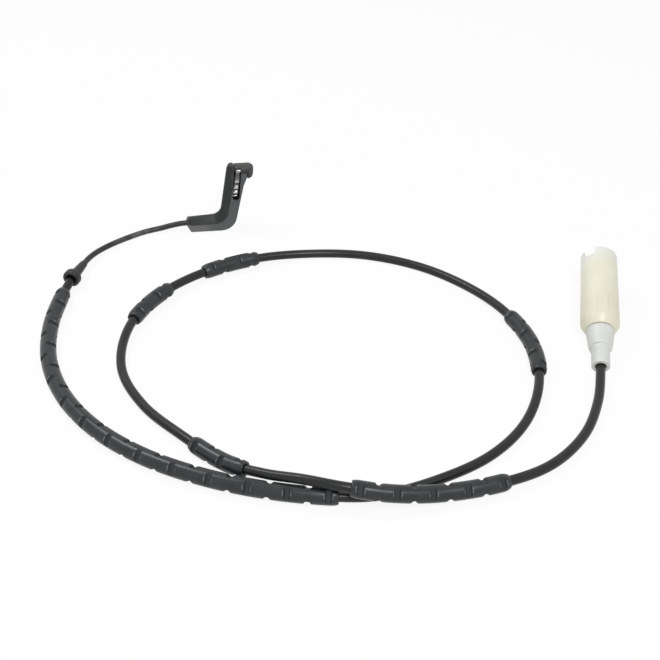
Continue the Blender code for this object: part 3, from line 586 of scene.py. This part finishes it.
# Cords: the routes are the CAD's own, in millimetres
leadRoute = [
    (-13.2, 0.0, 4.2), (-17.5, 0.0, 4.2), (-22.5, 0.0, 3.9), (-27.5, 0.0, 3.0), (-32.5, -0.3, 2.0),
    (-37.0, -1.1, 1.6), (-41.5, -2.6, 1.6), (-45.5, -4.5, 1.6), (-49.5, -6.7, 1.6), (-53.7, -9.2, 1.6),
    (-57.7, -12.0, 1.7), (-61.5, -15.3, 2.0), (-65.0, -19.2, 2.5), (-68.2, -23.8, 3.2),
    (-70.9, -28.9, 3.9), (-73.1, -34.4, 4.4), (-74.1, -37.1, 4.6),
]
cableRoute = [
    (-78.2, -46.5, 4.7), (-82.8, -63.5, 4.2), (-86.3, -87.0, 4.2), (-85.0, -113.5, 4.2),
    (-76.4, -140.0, 4.2), (-61.2, -163.5, 4.2), (-41.2, -182.4, 4.2), (-17.8, -197.0, 4.2),
    (8.0, -208.0, 4.2), (36.0, -215.3, 4.2), (59.1, -215.8, 2.65), (86.0, -208.8, 2.45),
    (111.0, -196.5, 2.45), (130.7, -177.0, 2.65), (142.5, -152.0, 4.0), (145.3, -124.5, 4.2),
    (138.0, -97.5, 4.0), (123.5, -72.5, 2.65), (102.2, -52.5, 2.45), (75.0, -39.3, 2.45),
    (45.4, -35.0, 2.65), (16.5, -38.8, 4.1), (-11.0, -49.0, 4.2), (-33.5, -66.5, 4.2),
    (-47.8, -90.5, 4.0), (-51.0, -120.0, 2.45), (-40.5, -148.0, 2.65), (-22.7, -172.2, 4.1),
    (-4.6, -191.2, 4.4), (11.4, -202.6, 7.3), (27.4, -210.6, 10.2), (43.3, -217.1, 10.7),
    (63.1, -219.9, 7.5), (85.0, -219.2, 4.7), (110.8, -215.5, 4.1), (134.5, -205.9, 2.8),
    (153.6, -189.0, 2.45), (166.0, -168.0, 2.8), (173.6, -145.6, 4.4), (177.1, -131.3, 7.25),
]
cords = {
    **sized(leadDiameter=3.0, cableDiameter=4.5, routeStep=1.5),
    "sides": 24,
}


def smoothPath(route):
    knots = [Vector(point) * mm for point in route]
    tangents = []
    for index in range(len(knots)):
        ahead = knots[min(index + 1, len(knots) - 1)] - knots[max(index - 1, 0)]
        tangents.append(ahead.normalized())
    path = [knots[0]]
    for index in range(len(knots) - 1):
        start, end = knots[index], knots[index + 1]
        reach = (end - start).length / 3
        steps = max(3, math.ceil((end - start).length / cords["routeStep"]))
        nearStart = start + tangents[index] * reach
        nearEnd = end - tangents[index + 1] * reach
        path += interpolate_bezier(start, nearStart, nearEnd, end, steps + 1)[1:]
    return path


def pathLength(path):
    return sum((end - start).length for start, end in zip(path, path[1:]))


def guideCurve(name, path):
    curve = bpy.data.curves.new(name, "CURVE")
    curve.dimensions = "3D"
    spline = curve.splines.new("POLY")
    spline.points.add(len(path) - 1)
    for point, place in zip(spline.points, path):
        point.co = (*place, 1.0)
    return addPiece(name, curve)


def cordTree():
    graph, given = newTree("cordTube", {"Radius": "Float", "Sides": "Int", "Finish": "Material"})
    upright = graph.node("GeometryNodeSetCurveNormal", {"mode": "Z_UP"}, {"Curve": given["Geometry"]})
    along = graph.node("GeometryNodeSplineParameter", {}, {}, "Length")
    kept = stored(graph, upright, "along", along, "POINT")
    ring = graph.node("GeometryNodeCurvePrimitiveCircle", {},
                      {"Resolution": given["Sides"], "Radius": given["Radius"]})
    tube = graph.node("GeometryNodeCurveToMesh", {},
                      {"Curve": kept, "Profile Curve": ring, "Fill Caps": True})
    endTree(graph, tube, given["Finish"])
    return graph


cordGraph = cordTree()


def makeCord(name, path, diameter, finish):
    guide = guideCurve(name, path)
    runTree(guide, cordGraph,
            {"Radius": diameter / 2, "Sides": cords["sides"], "Finish": finishes[finish].material})
    return plainPiece(guide)


leadPath = smoothPath(leadRoute)
cablePath = smoothPath(cableRoute)
leadCord = makeCord("thinLead", leadPath, cords["leadDiameter"], "leadRubber")
cableCord = makeCord("cableJacket", cablePath, cords["cableDiameter"], "cableJacket")
dress(leadCord, "leadRubber", ["sensor_lead"])
dress(cableCord, "cableJacket", ["main_cable"])
print("stage: cords laid")


# Slotted sleeves
sleeves = {
    **sized(radius=3.9, wall=1.5, slotDepth=1.3, slotFloor=1.8, slotMouth=3.1, rim=0.30, rimFlare=0.40,
            endLength=3.4, endRound=0.25),
    "sides": 40, "segmentsPerRing": 5, "slotAngle": 52.0, "quarter": 90.0, "cutterRims": 4.0,
    "cutterReach": 2.4, "endSteps": 8, "endAngle": 60.0, "sharp": 40.0,
    "places": {  # start along the cable, slot rings, pitch, how far the first and last end close in
        "long_sleeve": (12.5 * mm, 27, 8.5 * mm, 0.21, 0.13),
        "right_sleeve": (377.0 * mm, 6, 7.6 * mm, 0.13, 0.21),
        "top_sleeve": (573.0 * mm, 4, 7.6 * mm, 0.21, 0.13),
        "top_left_sleeve": (625.0 * mm, 4, 7.6 * mm, 0.21, 0.13),
        "bottom_left_sleeve": (758.0 * mm, 4, 7.6 * mm, 0.21, 0.13),
        "front_sleeve": (836.0 * mm, 9, 7.6 * mm, 0.13, 0.21),
    },
}


sleeveSizes = ("radius", "wall", "slotDepth", "slotFloor", "slotMouth", "rim", "rimFlare", "endLength")


def sleeveTree():
    numbers = ("start", "pitch", "length", "slotTurn", "firstEnd", "lastEnd", *sleeveSizes)
    graph, given = newTree("slottedSleeve", {
        "guide": "Object", "rings": "Int", "finish": "Material", **dict.fromkeys(numbers, "Float")})
    node = graph.node
    radius, pitch, length = given["radius"], given["pitch"], given["length"]

    def ranged(value, low, high, toLow, toHigh):
        return node("ShaderNodeMapRange", {}, {"Value": value, "From Min": low, "From Max": high,
                                               "To Min": toLow, "To Max": toHigh})

    # a tapered cutter with a flared rim, marked so that the finish paints a set tone on the slot's
    # walls, standing in for the light in the slots, and a painted highlight on the rim
    block = node("GeometryNodeMeshCube", {}, {"Vertices Z": 3})
    x = graph.axis(node("GeometryNodeInputPosition", {}, {}), "X")
    y, z = graph.other(x, "Y"), graph.other(x, "Z")
    flared = z > 0.0
    marked = stored(graph, stored(graph, block, "slotRim", flared, "FACE"),
                    "slotWall", 1.0 - flared, "FACE")
    rims = sleeves["cutterRims"]  # how far the cutter goes on past the sleeve's surface
    height = (ranged(z, -0.5, 0.0, radius - given["slotDepth"], radius - given["rim"])
              + ranged(z, 0.0, 0.5, 0.0, given["rim"] * rims))
    width = (ranged(z, -0.5, 0.0, given["slotFloor"], given["slotMouth"])
             + ranged(z, 0.0, 0.5, 0.0, given["rimFlare"] * (2.0 * rims)))
    corner = graph.vector(x * width, y * radius * sleeves["cutterReach"], height)
    cutter = node("GeometryNodeSetPosition", {}, {"Geometry": marked, "Position": corner})
    # two opposite cutters for each ring, each ring turned a quarter from the last
    pair = graph.tree.nodes.new("GeometryNodeJoinGeometry")
    for turn in (0.0, math.pi):
        turned = node("GeometryNodeTransform", {}, {"Geometry": cutter, "Rotation": (turn, 0.0, 0.0)})
        graph.tree.links.new(turned.socket, pair.inputs[0])
    line = node("GeometryNodeMeshLine", {"mode": "OFFSET"},
                {"Count": given["rings"], "Start Location": graph.vector(pitch * 0.5),
                 "Offset": graph.vector(pitch)})
    parity = node("GeometryNodeInputIndex", {}, {}) % 2.0
    ringTurn = graph.vector(given["slotTurn"] + parity * math.radians(sleeves["quarter"]))
    spots = node("GeometryNodeInstanceOnPoints", {},
                 {"Points": line, "Instance": Link(graph, pair.outputs[0]), "Rotation": ringTurn})
    cutters = node("GeometryNodeRealizeInstances", {}, {"Geometry": spots})
    cut = node("GeometryNodeMeshBoolean", {"operation": "DIFFERENCE", "solver": "EXACT"},
               {"Mesh 1": given["Geometry"], "Mesh 2": cutters})
    # close the ends in round the cable, then lay the straight sleeve along it
    near = ranged(x, 0.0, given["endLength"], 1.0, 0.0)
    far = ranged(x, length - given["endLength"], length, 0.0, 1.0)
    reach = graph.vectorMaths("LENGTH", {0: graph.vector(0.0, y, z)}, "Value")
    outside = ranged(reach, radius - given["wall"], radius, 0.0, 1.0)
    slim = 1.0 - (near * near * given["firstEnd"] + far * far * given["lastEnd"]) * outside
    guide = node("GeometryNodeObjectInfo", {}, {"Object": given["guide"]}, "Geometry")
    upright = node("GeometryNodeSetCurveNormal", {"mode": "Z_UP"}, {"Curve": guide})
    centre = node("GeometryNodeSampleCurve", {"mode": "LENGTH"},
                  {"Curves": upright, "Length": x + given["start"]}, "Position")
    tangent, side = graph.other(centre, "Tangent"), graph.other(centre, "Normal")
    rise = graph.vectorMaths("CROSS_PRODUCT", {0: side, 1: tangent})
    across = graph.vectorMaths("SCALE", {0: side, "Scale": 0.0 - y * slim})
    upward = graph.vectorMaths("SCALE", {0: rise, "Scale": z * slim})
    offset = graph.vectorMaths("ADD", {0: across, 1: upward})
    bent = graph.vectorMaths("ADD", {0: centre, 1: offset})
    laid = node("GeometryNodeSetPosition", {}, {"Geometry": cut, "Position": bent})
    endTree(graph, laid, given["finish"])
    return graph


def straightSleeve(name, slotRings, length):
    fine, count = sleeves["endLength"], sleeves["endSteps"]
    middle = slotRings * sleeves["segmentsPerRing"]
    near = [fine * step / count for step in range(count)]
    stations = near + [fine + (length - 2 * fine) * step / middle for step in range(middle + 1)]
    stations += [length - station for station in reversed(near)]
    circle = arc((0.0, 0.0), sleeves["radius"], 0, 360, sleeves["sides"])[:-1]
    rings = [[(station, y, z) for y, z in circle] for station in stations]
    sleeve = skinnedPiece(name, rings, False)
    thicken(sleeve, sleeves["wall"], -1.0)
    softEdges(sleeve, sleeves["endRound"], 2, sleeves["endAngle"])
    return sleeve


def makeSleeves():
    guide = guideCurve("sleeveGuide", cablePath)
    graph = sleeveTree()
    made = []
    for node, (start, rings, pitch, firstEnd, lastEnd) in sleeves["places"].items():
        sleeve = straightSleeve(node.title().replace("_", ""), rings, rings * pitch)
        runTree(sleeve, graph, {
            "guide": guide, "start": start, "rings": rings, "pitch": pitch, "length": rings * pitch,
            "slotTurn": math.radians(sleeves["slotAngle"]), "firstEnd": firstEnd, "lastEnd": lastEnd,
            "finish": finishes["sleeveRubber"].material,
            **{size: sleeves[size] for size in sleeveSizes}})
        piece = plainPiece(sleeve)
        made.append(dress(piece, "sleeveRubber", [node], sleeves["sharp"]))
        print("sleeve", node, len(piece.data.polygons))
    bpy.data.objects.remove(guide)
    return made


sleevePieces = makeSleeves()
print("stage: sleeves cut and bent")


# Collar between the thin lead and the cable
collar = {
    **sized(length=15.5, tipRadius=1.95, baseRadius=2.7, reliefLength=11.0, radius=4.5, wall=0.9,
            cupDepth=2.6, gap=0.3, floorRadius=2.5, dish=0.15, waist=0.15, waistLength=2.5,
            edgeRound=0.5),
    "sides": 64,
}


def makeCollar():
    axis = cablePath[0] - leadPath[-1]
    cupFloor = collar["length"] - collar["cupDepth"]
    start = cablePath[0] - axis.normalized() * (cupFloor + collar["gap"])
    leadEnd = (leadPath[-1] - start).dot(axis.normalized()) + collar["gap"]
    bore = cords["leadDiameter"] / 2 + collar["gap"]
    length, radius, wall = collar["length"], collar["radius"], collar["wall"]
    floorRadius, base, relief = collar["floorRadius"], collar["baseRadius"], collar["reliefLength"]
    dish = length - collar["dish"]
    profile = [(0.0, cupFloor), (floorRadius, cupFloor), (floorRadius, dish),
               (radius - wall, dish + wall / 3), (radius - wall / 3, length),
               (radius, length - wall * 0.7), (radius, relief + wall), (radius - wall, relief),
               (base, relief), (base - collar["waist"], relief - collar["waistLength"]),
               (collar["tipRadius"], collar["gap"]), (bore, 0.0), (bore, leadEnd), (0.0, leadEnd)]
    outline = rounded(profile, collar["edgeRound"])
    piece = turnedPiece("leadCollar", outline, collar["sides"], frameAlong(start, axis))
    return dress(piece, "leadRubber", ["lead_collar"])


collarPiece = makeCollar()


# Sensor head: a side view in X and Z with its thickness along Y
head = {
    **sized(left=-16.4, thickness=8.0, legHeight=7.8, legRise=0.9, footLength=16.4, outerRadius=9.0,
            innerRadius=6.0, legWidth=9.6, flareZ=28.0, flareOut=0.9, topZ=39.6, armTopZ=35.6,
            ridge=1.6, sectionRound=0.9, slotBottomZ=19.3, slotWidth=3.8, armFoot=1.1, web=1.6,
            crownRadius=1.8, boreGap=0.3, boreDepth=5.0, edgeRound=0.28),
    "elbowSteps": 24, "outerLean": 13.0, "innerLean": 10.0, "bevelStart": 0.52, "sectionSteps": 4,
    "endSlant": 19.0, "slotLean": 6.0, "slotSteps": 20, "crownSteps": 16, "edgeAngle": 40.0,
    "sharp": 32.0,
}
tip = {
    **sized(plate=2.18, leftReach=3.8, overhang=2.9, hook=2.8, chamferX=2.2, chamferY=2.6,
            notchWidth=3.8, notchDepth=2.1, gap=0.12, hookGap=0.08, pocketHeight=1.3,
            pocketHalf=0.6, coreX=0.7, coreSpread=1.4, edgeRound=0.35),
    "edgeAngle": 25.0,
}
spring = {
    **sized(thickness=0.3, width=2.2, front=-3.5, back=-2.5, top=37.8, edgeRound=0.06),
    "lean": 9.5, "steps": 16, "crests": (21.9 * mm, 23.7 * mm, 26.6 * mm, 30.4 * mm, 37.4 * mm),
    "topCrest": 0.6, "rubbed": 6, "edgeAngle": 60.0,
}


def leaningX(footX, footZ, lean, z):
    return footX + (z - footZ) * math.tan(math.radians(lean))


def headLines():  # matching points on the outer and inner outline, from the lead's end to the top
    footX = head["left"] + head["footLength"]
    start = head["left"] - head["thickness"] / 2
    radius, lean, steps = head["outerRadius"], head["outerLean"], head["elbowSteps"]
    outer = [(start, 0.0), *arc((footX, radius), radius, -90, -lean, steps)]
    arcX, arcZ = outer[-1]
    flareZ, hookZ, topZ = head["flareZ"], head["armTopZ"] - tip["hook"], head["topZ"]
    for z, extra in ((flareZ, 0.0), (hookZ, head["flareOut"]), (topZ, head["flareOut"])):
        outer.append((leaningX(arcX, arcZ, lean, z) + extra, z))
    radius, innerLean = head["innerRadius"], head["innerLean"]
    slope = math.radians(innerLean)
    rise = math.degrees(math.atan2(head["legRise"], head["footLength"]))
    level = arcZ + radius
    innerX = leaningX(arcX, arcZ, lean, level) - head["legWidth"] / math.cos(slope)
    centreZ = head["legHeight"] + head["legRise"] + radius
    touchX = leaningX(innerX, level, innerLean, centreZ - radius * math.sin(slope))
    centreX = touchX - radius * math.cos(slope)
    inner = [(start, head["legHeight"])]
    inner += arc((centreX, centreZ), radius, -90 + rise, -innerLean, steps)
    arcX, arcZ = inner[-1]
    inner += [(leaningX(arcX, arcZ, innerLean, z), z) for z in (flareZ, hookZ, topZ)]
    return outer, inner


headOuter, headInner = headLines()


def outerX(z):  # the upper leg's outer face at a height
    for (lowX, lowZ), (highX, highZ) in zip(headOuter[-4:], headOuter[-3:]):
        if z <= highZ:
            return lowX + (highX - lowX) * (z - lowZ) / (highZ - lowZ)
    return headOuter[-1][0]


def headSection(outerPoint, innerPoint):  # flat outer half, inner half narrowing to a ridge
    start = Vector((outerPoint[0], 0.0, outerPoint[1]))
    across = Vector((innerPoint[0], 0.0, innerPoint[1])) - start
    half, ridge, width = head["thickness"] / 2, head["ridge"] / 2, across.length
    bend = head["bevelStart"] * width
    outline = [(0.0, -half), (0.0, half), (bend, half), (width, ridge), (width, -ridge), (bend, -half)]
    return [start + across * (reach / width) + Vector((0.0, y, 0.0))
            for reach, y in roundedLoop(outline, head["sectionRound"], head["sectionSteps"])]


slotFootZ = head["slotBottomZ"] + head["slotWidth"] / 2


def slotWalls(z):  # X of the slot's column side and arm side at a height
    armSide = leaningX(outerX(slotFootZ) - head["armFoot"], slotFootZ, head["slotLean"], z)
    return armSide - head["slotWidth"], armSide


def makeHead():
    shell = skinnedPiece("sensorHead", [headSection(*pair) for pair in zip(headOuter, headInner)])
    left, half, topZ, armTopZ = head["left"], head["thickness"] / 2, head["topZ"], head["armTopZ"]
    deep = 2 * head["thickness"]
    lowColumn, lowArm = slotWalls(slotFootZ)
    topArm = slotWalls(armTopZ)[1]
    crownZ = topZ - head["crownRadius"]
    columnInner = leaningX(*headInner[-1], head["innerLean"], crownZ)
    crownX = (columnInner + slotWalls(crownZ)[0]) / 2
    crown = arc((crownX, crownZ), head["crownRadius"], 180, 0, head["crownSteps"])
    share = (armTopZ - slotFootZ) / (crownZ - slotFootZ)
    stepX = lowColumn + (crown[-1][0] - lowColumn) * share
    top = [(stepX, armTopZ), (topArm + deep, armTopZ), (topArm + deep, 2 * topZ),
           (columnInner - deep, 2 * topZ), (columnInner - deep, crownZ), *crown]
    slotX = (lowColumn + lowArm) / 2
    beyond = armTopZ + tip["gap"]
    slot = arc((slotX, slotFootZ), head["slotWidth"] / 2, 180, 360, head["slotSteps"])
    slot += [(topArm, beyond), (stepX + tip["gap"], beyond)]
    slotPlace = Matrix.Translation((0, -half - head["web"], 0))
    slant = Matrix.Translation((left, -half, 0))
    slant @= Matrix.Rotation(math.radians(head["endSlant"]), 4, "Z")
    bore = Matrix.Translation((left, 0, leadRoute[0][2] * mm)) @ Matrix.Rotation(math.pi / 2, 4, "Y")
    boreRadius = cords["leadDiameter"] / 2 + head["boreGap"]
    cutters = [
        extrudedPiece("topCutter", top, deep),
        extrudedPiece("forkCutter", slot, deep, slotPlace),
        boxPiece("endCutter", (-deep, -deep, -deep), (0, deep, deep), slant),
        rodPiece("boreCutter", boreRadius, 2 * head["boreDepth"], bore),
    ]
    piece = carved(shell, cutters, head["edgeRound"], 3, head["edgeAngle"])
    return dress(piece, "headPlastic", ["sensor_housing"], head["sharp"])


def makeTip():
    armTopZ, half = head["armTopZ"], head["thickness"] / 2
    armSide, armOuter = slotWalls(armTopZ)[1], outerX(armTopZ)
    left, right = armSide - tip["leftReach"], armOuter + tip["overhang"]
    hookZ, hookX = armTopZ - tip["hook"], armOuter + tip["gap"]
    hookLow = outerX(hookZ) + tip["hookGap"]
    under = armTopZ + tip["gap"]
    top = under + tip["plate"]
    corner = tip["plate"] / 2
    outline = [(left, under), (hookX, under), (hookLow, hookZ), (right - corner, hookZ),
               (right - corner / 3, hookZ + corner), (right, top - corner / 2),
               (right - corner / 2, top), (left + corner / 3, top), (left, top - corner / 3)]
    cap = extrudedPiece("sensingTip", outline, head["thickness"])
    cutters = [boxPiece("notchCutter", (left - corner, -2 * half, under - corner),
                        (left + tip["notchWidth"], -half + tip["notchDepth"], top + corner))]
    nearX, farX = right - 2 * tip["chamferX"], right + tip["chamferX"]
    flat = Matrix.Rotation(-math.pi / 2, 4, "X")
    for side in (-1, 1):
        edge, slant = side * half, side * tip["chamferY"]
        plan = [(nearX, edge + slant), (farX, edge - 2 * slant), (farX, edge + slant)]
        cutters.append(extrudedPiece("cornerCutter", plan, 4 * head["topZ"], flat))
    coreX, pocket = armSide - tip["coreX"], tip["pocketHalf"]
    reach = tip["coreSpread"] / 2 + pocket
    cutters.append(boxPiece("pocketCutter", (coreX - pocket, -reach, under - corner),
                            (coreX + pocket, reach, under + tip["pocketHeight"])))
    piece = carved(cap, cutters, tip["edgeRound"], 3, tip["edgeAngle"])
    return dress(piece, "tipPlastic", ["sensing_tip"])


def makeSpring():  # a corrugated strip in the fork, with waves that grow towards the tip
    footX = slotWalls(slotFootZ)[0] + tip["gap"]
    steps, crests = spring["steps"], spring["crests"]
    rows = [(slotFootZ, 0.0)]
    for low, high in zip(crests, crests[1:]):
        for step in range(steps):
            wave = (1 + math.cos(2 * math.pi * step / steps)) / 2
            rows.append((low + (high - low) * step / steps, wave))
    rows += [(crests[-1], 1.0), (spring["top"], spring["topCrest"])]
    bm = bmesh.new()
    layer = bm.verts.layers.float.new("crest")
    previous = None
    for z, crest in rows:
        x = leaningX(footX, slotFootZ, spring["lean"], z)
        y = spring["back"] + (spring["front"] - spring["back"]) * crest
        pair = [bm.verts.new((x, y, z)), bm.verts.new((x + spring["width"], y, z))]
        for vert in pair:
            vert[layer] = crest ** spring["rubbed"]
        if previous:
            bm.faces.new((previous[0], previous[1], pair[1], pair[0]))
        previous = pair
    strip = bmeshPiece("retainingSpring", bm)
    thicken(strip, spring["thickness"], 0.0)
    softEdges(strip, spring["edgeRound"], 2, spring["edgeAngle"])
    return dress(plainPiece(strip), "springSteel", ["retaining_spring"])


makeHead()
makeTip()
makeSpring()
print("stage: head made")


# Plug: stations along its axis from the boot's rear end
plug = {
    **sized(bootRear=4.4, bootFront=6.9, bootLength=22.2, bootRound=0.35, plugRadius=6.0,
            plugLength=7.0, cuff=11.0, ledge=0.5, ledgeLength=2.0, rim=2.5, radius=9.5,
            mouthRadius=9.0, shoulder=4.3, length=49.5, wall=1.3, partition=2.4, housingRound=0.4,
            edgeRound=0.18, notchWidth=6.8, notchDepth=4.5, rampWidth=5.0, rampLength=11.0,
            rampHeight=0.4, rampStation=27.5, rampSink=0.4, rampRound=0.3, carrierRadius=6.2,
            carrierBase=3.0, carrierLength=22.0, carrierCorner=0.3, carrierRound=0.15, spread=5.0,
            socketRadius=1.4, socketSpare=2.0, pinRadius=0.8, crimpRadius=1.2, pinRound=0.2,
            seal=2.2, sealLip=0.3, sealRound=0.25, sealSeam=0.1, gap=0.3, floorGap=0.05),
    "seam": 0.9, "edgeAngle": 45.0, "notchTurn": -42.0, "rampAngle": 20.0, "pinSides": 32,
    "steps": 96,
}


def plugFrame():  # it lies on the boot's rear rim and the housing's shoulder
    tilt = math.atan2(plug["radius"] - plug["bootRear"], plug["bootLength"] + plug["shoulder"])
    rear = Vector(cableRoute[-2]) * mm
    inside = Vector(cableRoute[-1]) * mm
    level = Vector((inside.x - rear.x, inside.y - rear.y, 0.0)).normalized()
    rear.z = plug["bootRear"] * math.cos(tilt) + plug["floorGap"]
    return frameAlong(rear, level * math.cos(tilt) + Vector((0, 0, math.sin(tilt))))


plugPlace = plugFrame()
cableEnd = (plugPlace.inverted() @ cablePath[-1]).z
coreHole = plug["spread"] / 2 + plug["crimpRadius"] + plug["gap"]


def makeBoot():
    length, gap = plug["bootLength"], plug["gap"]
    front, shoulder = length + plug["plugLength"], length - gap
    bore = cords["cableDiameter"] / 2 + gap
    inner, outer, rear = plug["plugRadius"], plug["bootFront"], plug["bootRear"]
    ledge, cuff, step = plug["ledge"], plug["cuff"], plug["ledgeLength"]
    profile = [(coreHole, front), (inner, front), (inner, shoulder), (outer, shoulder),
               (outer - ledge / 2, length - plug["rim"]), (outer - 2 * ledge, cuff + step),
               (rear + 2 * ledge, cuff), (rear + ledge / 2, cuff - ledge / 4), (rear, cuff - step),
               (rear, 0.0), (bore, 0.0), (bore, cableEnd + gap), (coreHole, cableEnd + 4 * gap)]
    piece = turnedPiece("boot", rounded(profile, plug["bootRound"]), plug["steps"], plugPlace)
    return dress(piece, "bootRubber", ["connector_boot"])


def makeHousing():
    rear, gap, wall = plug["bootLength"], plug["gap"], plug["wall"]
    front = rear + plug["length"]
    radius, mouth = plug["radius"], plug["mouthRadius"]
    inner, socket = mouth - wall, plug["plugRadius"] + gap
    shelf = rear + plug["plugLength"] + gap
    floor = shelf + plug["partition"]
    profile = [(inner, floor + wall), (inner, front), (mouth, front),
               (radius, rear + plug["shoulder"]), (plug["bootFront"] + gap, rear), (socket, rear),
               (socket, shelf), (coreHole, shelf), (coreHole, floor), (inner, floor),
               (inner, floor + plug["seam"] * wall)]
    outline = rounded(profile, plug["housingRound"])
    shell = turnedPiece("plugHousing", outline, plug["steps"], plugPlace)
    half, depth = plug["notchWidth"] / 2, plug["notchDepth"]
    turn = Matrix.Rotation(math.radians(plug["notchTurn"]), 4, "Z")
    notch = boxPiece("notchCutter", (-half, 0, front - depth), (half, 2 * radius, front + depth),
                     plugPlace @ turn)
    start, end = plug["rampStation"], plug["rampStation"] + plug["rampLength"]
    sink, lift = plug["rampSink"], plug["rampHeight"]
    side = [(start, radius - sink), (end, radius - sink), (end, radius + lift),
            (end - lift, radius + lift), (start, radius - sink / 8)]
    upright = Matrix(((0, 1, 0, 0), (0, 0, 1, 0), (1, 0, 0, 0), (0, 0, 0, 1)))
    ramp = extrudedPiece("latchRamp", side, plug["rampWidth"], plugPlace @ upright)
    softEdges(ramp, plug["rampRound"], 3, plug["rampAngle"])
    cutAway(shell, notch)
    cutAway(shell, ramp, operation="UNION")
    piece = mergeSlivers(carved(shell, [], plug["edgeRound"], 2, plug["edgeAngle"]))
    for used in (notch, ramp):
        bpy.data.objects.remove(used)
    return dress(piece, "ivoryPlastic", ["connector_housing"]), floor


def makeCarrier(floor):
    gap, radius = plug["gap"], plug["carrierRadius"]
    base = floor + gap
    inner = plug["mouthRadius"] - plug["wall"] - gap
    step, front = base + plug["carrierBase"], base + plug["carrierLength"]
    profile = [(0.0, front), (radius, front), (radius, step), (inner, step), (inner, base),
               (0.0, base)]
    outline = rounded(profile, plug["carrierCorner"])
    carrier = turnedPiece("terminalCarrier", outline, plug["steps"], plugPlace)
    length = plug["carrierLength"] + plug["socketSpare"]
    holes = []
    for side in (-1, 1):
        place = plugPlace @ Matrix.Translation((side * plug["spread"] / 2, 0, (base + front) / 2))
        holes.append(rodPiece("socketCutter", plug["socketRadius"], length, place, plug["pinSides"]))
    piece = mergeSlivers(carved(carrier, holes, plug["carrierRound"], 2, plug["edgeAngle"]))
    dress(piece, "carrierPlastic", ["terminal_carrier"])
    low, sealIn = step + gap, radius + gap
    high = low + plug["seal"]
    lip, seam = plug["sealLip"], plug["sealSeam"]
    ring = [(sealIn, high - seam), (sealIn, high), (inner - lip, high), (inner, (low + high) / 2),
            (inner - lip, low), (sealIn, low), (sealIn, high - 2 * seam)]
    seal = turnedPiece("ringSeal", rounded(ring, plug["sealRound"]), plug["steps"], plugPlace)
    dress(seal, "sealSilicone", ["mouth_seal"])
    return [piece, seal], base, front


def makeTerminals(base, front):
    rear, top = base - plug["partition"], front - plug["gap"]
    pin, crimp = plug["pinRadius"], plug["crimpRadius"]
    profile = [(0.0, top), (pin / 2, top), (pin, top - pin), (pin, base + pin), (crimp, base),
               (crimp, rear), (0.0, rear)]
    outline = rounded(profile, plug["pinRound"])
    pieces = []
    for index, side in enumerate((-1, 1), start=1):
        place = plugPlace @ Matrix.Translation((side * plug["spread"] / 2, 0, 0))
        terminal = turnedPiece(f"terminal{index}", outline, plug["pinSides"], place)
        pieces.append(dress(terminal, "tinnedBrass", [f"terminal_{index}"]))
    return pieces


bootPiece = makeBoot()
housingPiece, partitionTop = makeHousing()
carrierPieces, carrierBase, carrierFront = makeCarrier(partitionTop)
terminalPieces = makeTerminals(carrierBase, carrierFront)
print("stage: plug made")

for node in ("plug_core_1", "plug_core_2", "head_core_1", "head_core_2"):
    paint(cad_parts[node], "coreInsulation")
paint(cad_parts["wear_loop"], "bareCopper")

pathLength(leadPath)
pathLength(cablePath)
